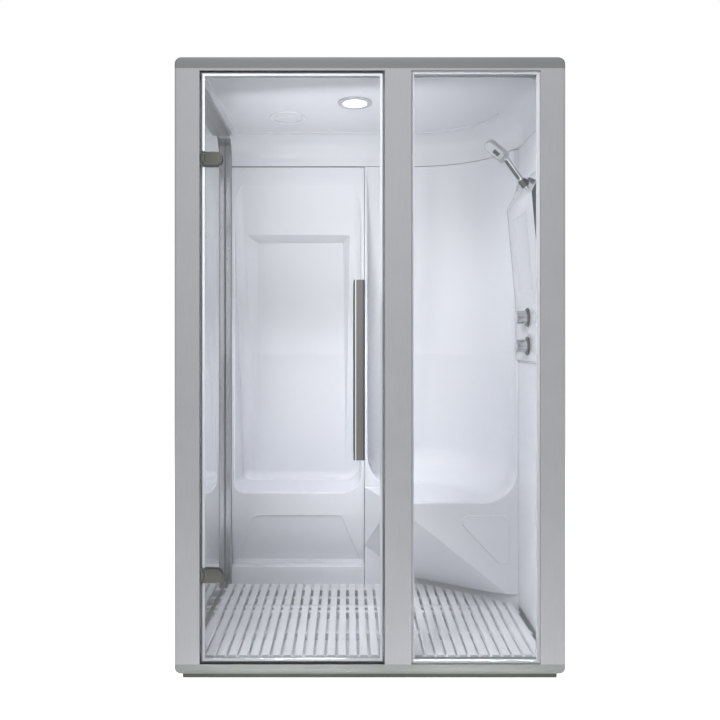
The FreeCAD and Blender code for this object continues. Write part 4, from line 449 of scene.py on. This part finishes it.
# Maker, name, colour and the maker's other values for each finish
finish_rows = [
    (metal, "silver_upright", SILVER_SHARES, 0.42, UPRIGHT_GRAIN, 0.10),
    (metal, "silver_level", SILVER_SHARES, 0.42, LEVEL_GRAIN, 0.10),
    (metal, "silver_depth", SILVER_SHARES, 0.42, DEPTH_GRAIN, 0.10),
    # Roof cap: silver darkened as painted shade
    (metal, "dark_silver", SHADED_SILVER_SHARES, 0.45, LEVEL_GRAIN, 0.10),
    # Base rail and plinth: silver darkened as painted shade near the floor
    (metal, "rail_silver", SHADED_RAIL_SHARES, 0.42, LEVEL_GRAIN, 0.10),
    (metal, "plinth_grey", SHADED_PLINTH_SHARES, 0.5, LEVEL_GRAIN, 0.10),
    (metal, "hinge_steel", HINGE_SHARES, 0.25, EVEN_GRAIN, 0.05),
    # The door handles' steel carries a painted highlight and painted shade lines
    (metal, "brushed_steel", STEEL_SHARES, 0.30, UPRIGHT_GRAIN, 0.15, handle_painted_light),
    (metal, "plain_steel", STEEL_SHARES, 0.35, EVEN_GRAIN, 0.05),
    (metal, "chrome_plate", CHROME_SHARES, 0.14, EVEN_GRAIN, 0.01),
    (metal, "plain_brass", BRASS_SHARES, 0.3, EVEN_GRAIN, 0.05),
    (moulding, "white_acrylic", ACRYLIC_SHARES, 0.22, 0.5),
    # Shower panel: acrylic darkened as painted shade, with a painted shade line at its far edge
    (moulding, "shower_white", SHADED_SHOWER_SHARES, 0.22, 0.5, shower_gap_shade),
    (mirror, "wall_mirror", MIRROR_SHARES),
    (metal, "bright_trim", TRIM_SHARES, 0.16, UPRIGHT_GRAIN, 0.03),
    (moulding, "outer_panel", OUTSIDE_SHARES, 0.40, 0.1),
    (matt, "slat_plastic", SLAT_SHARES, 0.5, DEPTH_GRAIN, 0.12),
    (matt, "vent_plastic", ACRYLIC_SHARES, 0.4, EVEN_GRAIN, 0.05),
    # Door seals carry a painted shade line along their outer lip
    (matt, "door_seal", SEAL_SHARES, 0.4, UPRIGHT_GRAIN, 0.05, door_gap_shade),
    (matt, "pale_seal", SEAL_SHARES, 0.4, UPRIGHT_GRAIN, 0.05),
    (matt, "grey_magnet", MAGNET_SHARES, 0.5, EVEN_GRAIN, 0.1),
    (matt, "pale_plate", PLATE_SHARES, 0.3, EVEN_GRAIN, 0.05),
    (matt, "dark_plastic", DARK_SHARES, 0.4, EVEN_GRAIN, 0.1),
    (clear_glass, "clear_glass", GLASS_SHARES),
    (glowing_lens, "lamp_lens", LENS_SHARES, LENS_GLOW),
]
finishes = {name: make(name, *values) for make, name, *values in finish_rows}

# Nodes that wear each finish
node_finishes = {
    "silver_upright": ["post_left", "post_centre", "post_right", "rear_posts", "seat_bearers"],
    "bright_trim": ["corner_trim"],
    "silver_level": ["header_rail"],
    "rail_silver": ["base_rail_front"],
    "plinth_grey": ["plinth"],
    "silver_depth": ["base_rails_rear", "ceiling_trim"],
    "dark_silver": ["roof_cap"],
    "brushed_steel": ["handle_outer", "handle_inner"],
    # The knob rosettes take the dark hinge steel as painted shade at the knobs' base
    "hinge_steel": ["hinge_leaves", "hinge_clamps", "hinge_back_plates", "clamp_screws",
                    "handset_holder", "knob_rosettes"],
    "plain_steel": ["hinge_pins", "leaf_screws", "drain_outlet", "boiler_tank", "boiler_fittings",
                    "steam_pipe", "steam_nozzle", "lamp_housing"],
    "chrome_plate": ["handle_studs", "flow_knob", "thermostat_knob", "handset_shell",
                     "hose_union", "holder_bracket", "lamp_bezel"],
    "pale_plate": ["spray_plate"],
    "plain_brass": ["mixer_valve", "water_inlets"],
    "white_acrylic": ["floor_tray", "seat_module_left", "seat_module_corner", "ceiling_panel",
                      "wall_liner_right"],
    "shower_white": ["shower_panel"],
    "wall_mirror": ["wall_liner_left"],
    "outer_panel": ["side_panels", "back_panel"],
    "slat_plastic": ["floor_mat_front", "floor_mat_rear"],
    "vent_plastic": ["ceiling_vent"],
    "door_seal": ["door_seals", "latch_seal"],
    "pale_seal": ["glazing_beads"],
    "grey_magnet": ["magnet_strip"],
    "dark_plastic": ["shower_end_cap", "spray_button", "control_box"],
    "clear_glass": ["door_glass", "fixed_pane"],
    "lamp_lens": ["lamp_lens"],
}


def dress(piece, finish):
    """Give a piece one finish."""
    piece.data.materials.clear()
    piece.data.materials.append(finishes[finish])


for finish, names in node_finishes.items():
    for name in names:
        dress(nodes[name], finish)


def round_edges(shape, edges, width, segments):
    """Round some edges of a shape."""
    bmesh.ops.bevel(shape, geom=edges, offset=width, offset_type="OFFSET", segments=segments,
                    profile=0.5, affect="EDGES", clamp_overlap=True, material=-1)


def finish_piece(shape, name, body, slot, finish, *replaced):
    """Turn a bmesh into a piece that rides on a body, and hide the nodes that it stands for."""
    mesh = bpy.data.meshes.new(name)
    bmesh.ops.triangulate(shape, faces=shape.faces)
    shape.to_mesh(mesh)
    shape.free()
    mesh.shade_smooth()
    mesh.set_sharp_from_angle(angle=SMOOTH_ANGLE)
    piece = bpy.data.objects.new(name, mesh)
    bpy.context.scene.collection.objects.link(piece)
    dress(piece, finish)
    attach(piece, body)
    for node in replaced:
        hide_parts(node)


def soft_copy(name, body, slot, finish, width, segments):
    """Copy of a node with rounded edges, which stands for the node."""
    shape = bmesh.new()
    shape.from_mesh(nodes[name].data)
    bmesh.ops.remove_doubles(shape, verts=shape.verts, dist=MERGE_DISTANCE)
    bmesh.ops.dissolve_limit(shape, angle_limit=FLAT_ANGLE, verts=shape.verts, edges=shape.edges)
    sharp = [edge for edge in shape.edges
             if len(edge.link_faces) == 2 and edge.calc_face_angle() > SHARP_ANGLE]
    round_edges(shape, sharp, width, segments)
    finish_piece(shape, name + "_soft", body, slot, finish, name)


def lathe(profile, start, end):
    """Solid of revolution about a line, from radii and places along the line."""
    shape = bmesh.new()
    corners = [shape.verts.new((radius, 0, along)) for radius, along in profile]
    edges = [shape.edges.new(pair) for pair in zip(corners, corners[1:])]
    bmesh.ops.spin(shape, geom=corners + edges, cent=(0, 0, 0), axis=(0, 0, 1), angle=2 * math.pi,
                   steps=LATHE_STEPS, use_merge=True, use_duplicate=False)
    bmesh.ops.remove_doubles(shape, verts=shape.verts, dist=MERGE_DISTANCE)
    bmesh.ops.recalc_face_normals(shape, faces=shape.faces)
    turn = (end - start).to_track_quat("Z", "Y").to_matrix().to_4x4()
    bmesh.ops.transform(shape, matrix=Matrix.Translation(start) @ turn, verts=shape.verts)
    return shape


def rounded_rod(length, radius, rounding):
    """Profile of a rod with rounded ends."""
    turns = [math.pi / 2 * step / ROD_STEPS for step in range(ROD_STEPS + 1)]
    foot = [(radius - rounding + rounding * math.sin(turn), rounding - rounding * math.cos(turn))
            for turn in turns]
    head = [(across, length - along) for across, along in reversed(foot)]
    return [(0, 0)] + foot + head + [(0, length)]


def box_shape(low, high):
    """Block between two corners."""
    shape = bmesh.new()
    size = Matrix.Diagonal((*(high - low), 1))
    bmesh.ops.create_cube(shape, size=1, matrix=Matrix.Translation((low + high) / 2) @ size)
    return shape


def round_plate(low, high):
    """Plate with a full round at its right end and a rounded rim in front."""
    shape = box_shape(low, high)
    end = [edge for edge in shape.edges
           if all(vert.co.x > high.x - MERGE_DISTANCE for vert in edge.verts)
           and abs(edge.verts[0].co.y - edge.verts[1].co.y) > MERGE_DISTANCE]
    round_edges(shape, end, HINGE_ROUND, HINGE_END_STEPS)
    rim = [edge for edge in shape.edges
           if all(vert.co.y < low.y + MERGE_DISTANCE for vert in edge.verts)]
    round_edges(shape, rim, HINGE_BEVEL, HINGE_BEVEL_STEPS)
    return shape


def joined(shapes):
    """One shape from several."""
    whole = bmesh.new()
    for shape in shapes:
        mesh = bpy.data.meshes.new("joined")
        shape.to_mesh(mesh)
        shape.free()
        whole.from_mesh(mesh)
        bpy.data.meshes.remove(mesh)
    return whole


def hinge_shapes():
    """Clamp plates of the door hinges with their knuckles and webs."""
    low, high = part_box("hinge_clamps")
    axis = low + Vector((KNUCKLE_RADIUS, KNUCKLE_RADIUS, 0))
    left, front = axis.x + HINGE_OFFSET, high.y - HINGE_PLATE
    knuckle = rounded_rod(2 * KNUCKLE_HALF, KNUCKLE_RADIUS, KNUCKLE_ROUND)
    shapes = []
    for height in (low.z + HINGE_HALF, high.z - HINGE_HALF):
        foot = Vector((axis.x, axis.y, height - KNUCKLE_HALF))
        head = Vector((axis.x, axis.y, height + KNUCKLE_HALF))
        web_low = Vector((axis.x, front, foot.z))
        web_high = Vector((left + KNUCKLE_RADIUS, axis.y + KNUCKLE_RADIUS / 2, head.z))
        plate_low = Vector((left, front, height - HINGE_HALF))
        plate_high = Vector((high.x, high.y, height + HINGE_HALF))
        shapes.append(round_plate(plate_low, plate_high))
        shapes.append(lathe(knuckle, foot, head))
        shapes.append(box_shape(web_low, web_high))
    return shapes


soft_copy("shower_panel", "cabin", "white_acrylic", "shower_white", PANEL_ROUND, PANEL_STEPS)
for handle in ("handle_outer", "handle_inner"):
    soft_copy(handle, "door", "chrome", "brushed_steel", HANDLE_ROUND, HANDLE_STEPS)
hinges = joined(hinge_shapes())
finish_piece(hinges, "hinge_clamps_soft", "door", "chrome", "hinge_steel", "hinge_clamps")
inlay_start = HANDLE_FOOT.lerp(HANDLE_HEAD, INLAY_START) + INLAY_SHIFT
inlay_end = HANDLE_FOOT.lerp(HANDLE_HEAD, INLAY_END) + INLAY_SHIFT
inlay_profile = rounded_rod((inlay_end - inlay_start).length, INLAY_RADIUS, INLAY_ROUND)
inlay = lathe(inlay_profile, inlay_start, inlay_end)
finish_piece(inlay, "handle_inlay", "hand_shower", "dark_plastic", "dark_plastic")


def add_camera():
    """Camera of the photograph, level and square to the front."""
    data = bpy.data.cameras.new("camera")
    data.sensor_width = SENSOR_WIDTH
    data.lens = FOCAL_PIXELS * SENSOR_WIDTH / PHOTO_WIDTH
    data.shift_x = 0.5 - VANISHING_PIXEL[0] / PHOTO_WIDTH
    data.shift_y = VANISHING_PIXEL[1] / PHOTO_WIDTH - 0.5
    camera = bpy.data.objects.new("camera", data)
    camera.location = CAMERA_PLACE
    camera.rotation_euler = (math.pi / 2, 0, 0)
    bpy.context.scene.collection.objects.link(camera)
    bpy.context.scene.camera = camera


def seen_ray(shade):
    """1 for rays that show the background: from the camera, or mirrored or passed on by glass."""
    path = "ShaderNodeLightPath"
    seen = shade.node(path, output="Is Camera Ray")
    for name in ("Is Glossy Ray", "Is Transmission Ray"):
        seen = seen.larger(shade.node(path, output=name))
    return seen


def add_world():
    """White backdrop that lights the object faintly and is brighter ahead in reflections."""
    world = bpy.data.worlds.new("backdrop")
    bpy.context.scene.world = world
    world.use_nodes = True
    world.node_tree.nodes.clear()
    shade = Shade(world.node_tree)
    direction = shade.node("ShaderNodeTexCoord", output="Generated")
    across = shade.node("ShaderNodeSeparateXYZ", inputs={"Vector": direction}, output="X")
    aside = across - GLOSS_PEAK_X
    gloss = (GLOSS_PEAK - aside * aside * GLOSS_FALL).larger(GLOSS_LEAST)
    mirrored = shade.node("ShaderNodeLightPath", output="Is Glossy Ray")
    strength = AMBIENT + seen_ray(shade) * (1 - AMBIENT) + mirrored * (gloss - 1)
    light = shade.node("ShaderNodeBackground", inputs={"Color": (*WHITE, 1), "Strength": strength})
    shade.node("ShaderNodeOutputWorld", inputs={"Surface": light})


def add_floor():
    """Pale floor that shows white and keeps the shadow."""
    shape = bmesh.new()
    bmesh.ops.create_grid(shape, x_segments=1, y_segments=1, size=FLOOR_SIZE)
    mesh = bpy.data.meshes.new("floor")
    shape.to_mesh(mesh)
    shape.free()
    floor = bpy.data.objects.new("floor", mesh)
    bpy.context.scene.collection.objects.link(floor)
    material, shade = new_tree("studio_floor")
    base = shade.node("ShaderNodeBsdfDiffuse", inputs={"Color": (*FLOOR_SHARES, 1)})
    inputs = {"Color": (*WHITE, 1), "Strength": seen_ray(shade) * FLOOR_GLOW}
    glow = shade.node("ShaderNodeEmission", inputs=inputs)
    put_out(shade, shade.node("ShaderNodeAddShader", inputs={0: base, 1: glow}))
    mesh.materials.append(material)


def add_lamp(name, place, target, size, watts, spread):
    """Soft rectangular lamp that the camera doesn't see, with a beam of some degrees."""
    data = bpy.data.lights.new(name, "AREA")
    data.shape = "RECTANGLE"
    data.spread = math.radians(spread)
    data.size, data.size_y = size
    data.energy = watts
    lamp = bpy.data.objects.new(name, data)
    lamp.location = place
    lamp.rotation_euler = (Vector(target) - Vector(place)).to_track_quat("-Z", "Y").to_euler()
    for ray in ("camera", "glossy", "transmission"):
        setattr(lamp, "visible_" + ray, False)
    bpy.context.scene.collection.objects.link(lamp)


# Name, place, target, width and height in metres, watts and spread in degrees of each lamp
lamps = [
    ("room_light", (-0.14, -0.38, 1.68), (0, 0.5, 1.78), (0.8, 0.8), 3.2, 180),
    ("ceiling_light", (-0.05, -0.40, 2.0), (-0.05, -0.42, 0), (1.1, 0.1), 24.0, 26),
    ("seat_light", (-0.24, -0.38, 1.42), (-0.18, 0.48, 0.52), (0.8, 0.3), 2.0, 80),
    ("front_light", (-0.9, -2.3, 1.8), (-0.1, 0.3, 0.5), (1.2, 0.5), 18.0, 180),
    ("back_light", (0.4, 3.4, 2.8), (0, 0, 1.1), (2.2, 2.2), 60.0, 180),
    ("key_light", (-2.0, -2.7, 3.6), (-0.1, -0.5, 2.0), (2.0, 1.4), 24.0, 70),
    ("fill_light", (2.8, -2.4, 2.2), (0, 0, 1.1), (2.2, 2.2), 10.0, 180),
    ("top_light", (-0.1, -1.2, 4.6), (-0.1, -0.3, 0), (1.6, 0.5), 15.0, 180),
]
add_camera()
add_world()
add_floor()
for lamp in lamps:
    add_lamp(*lamp)

bpy.context.scene.view_settings.view_transform = "Standard"
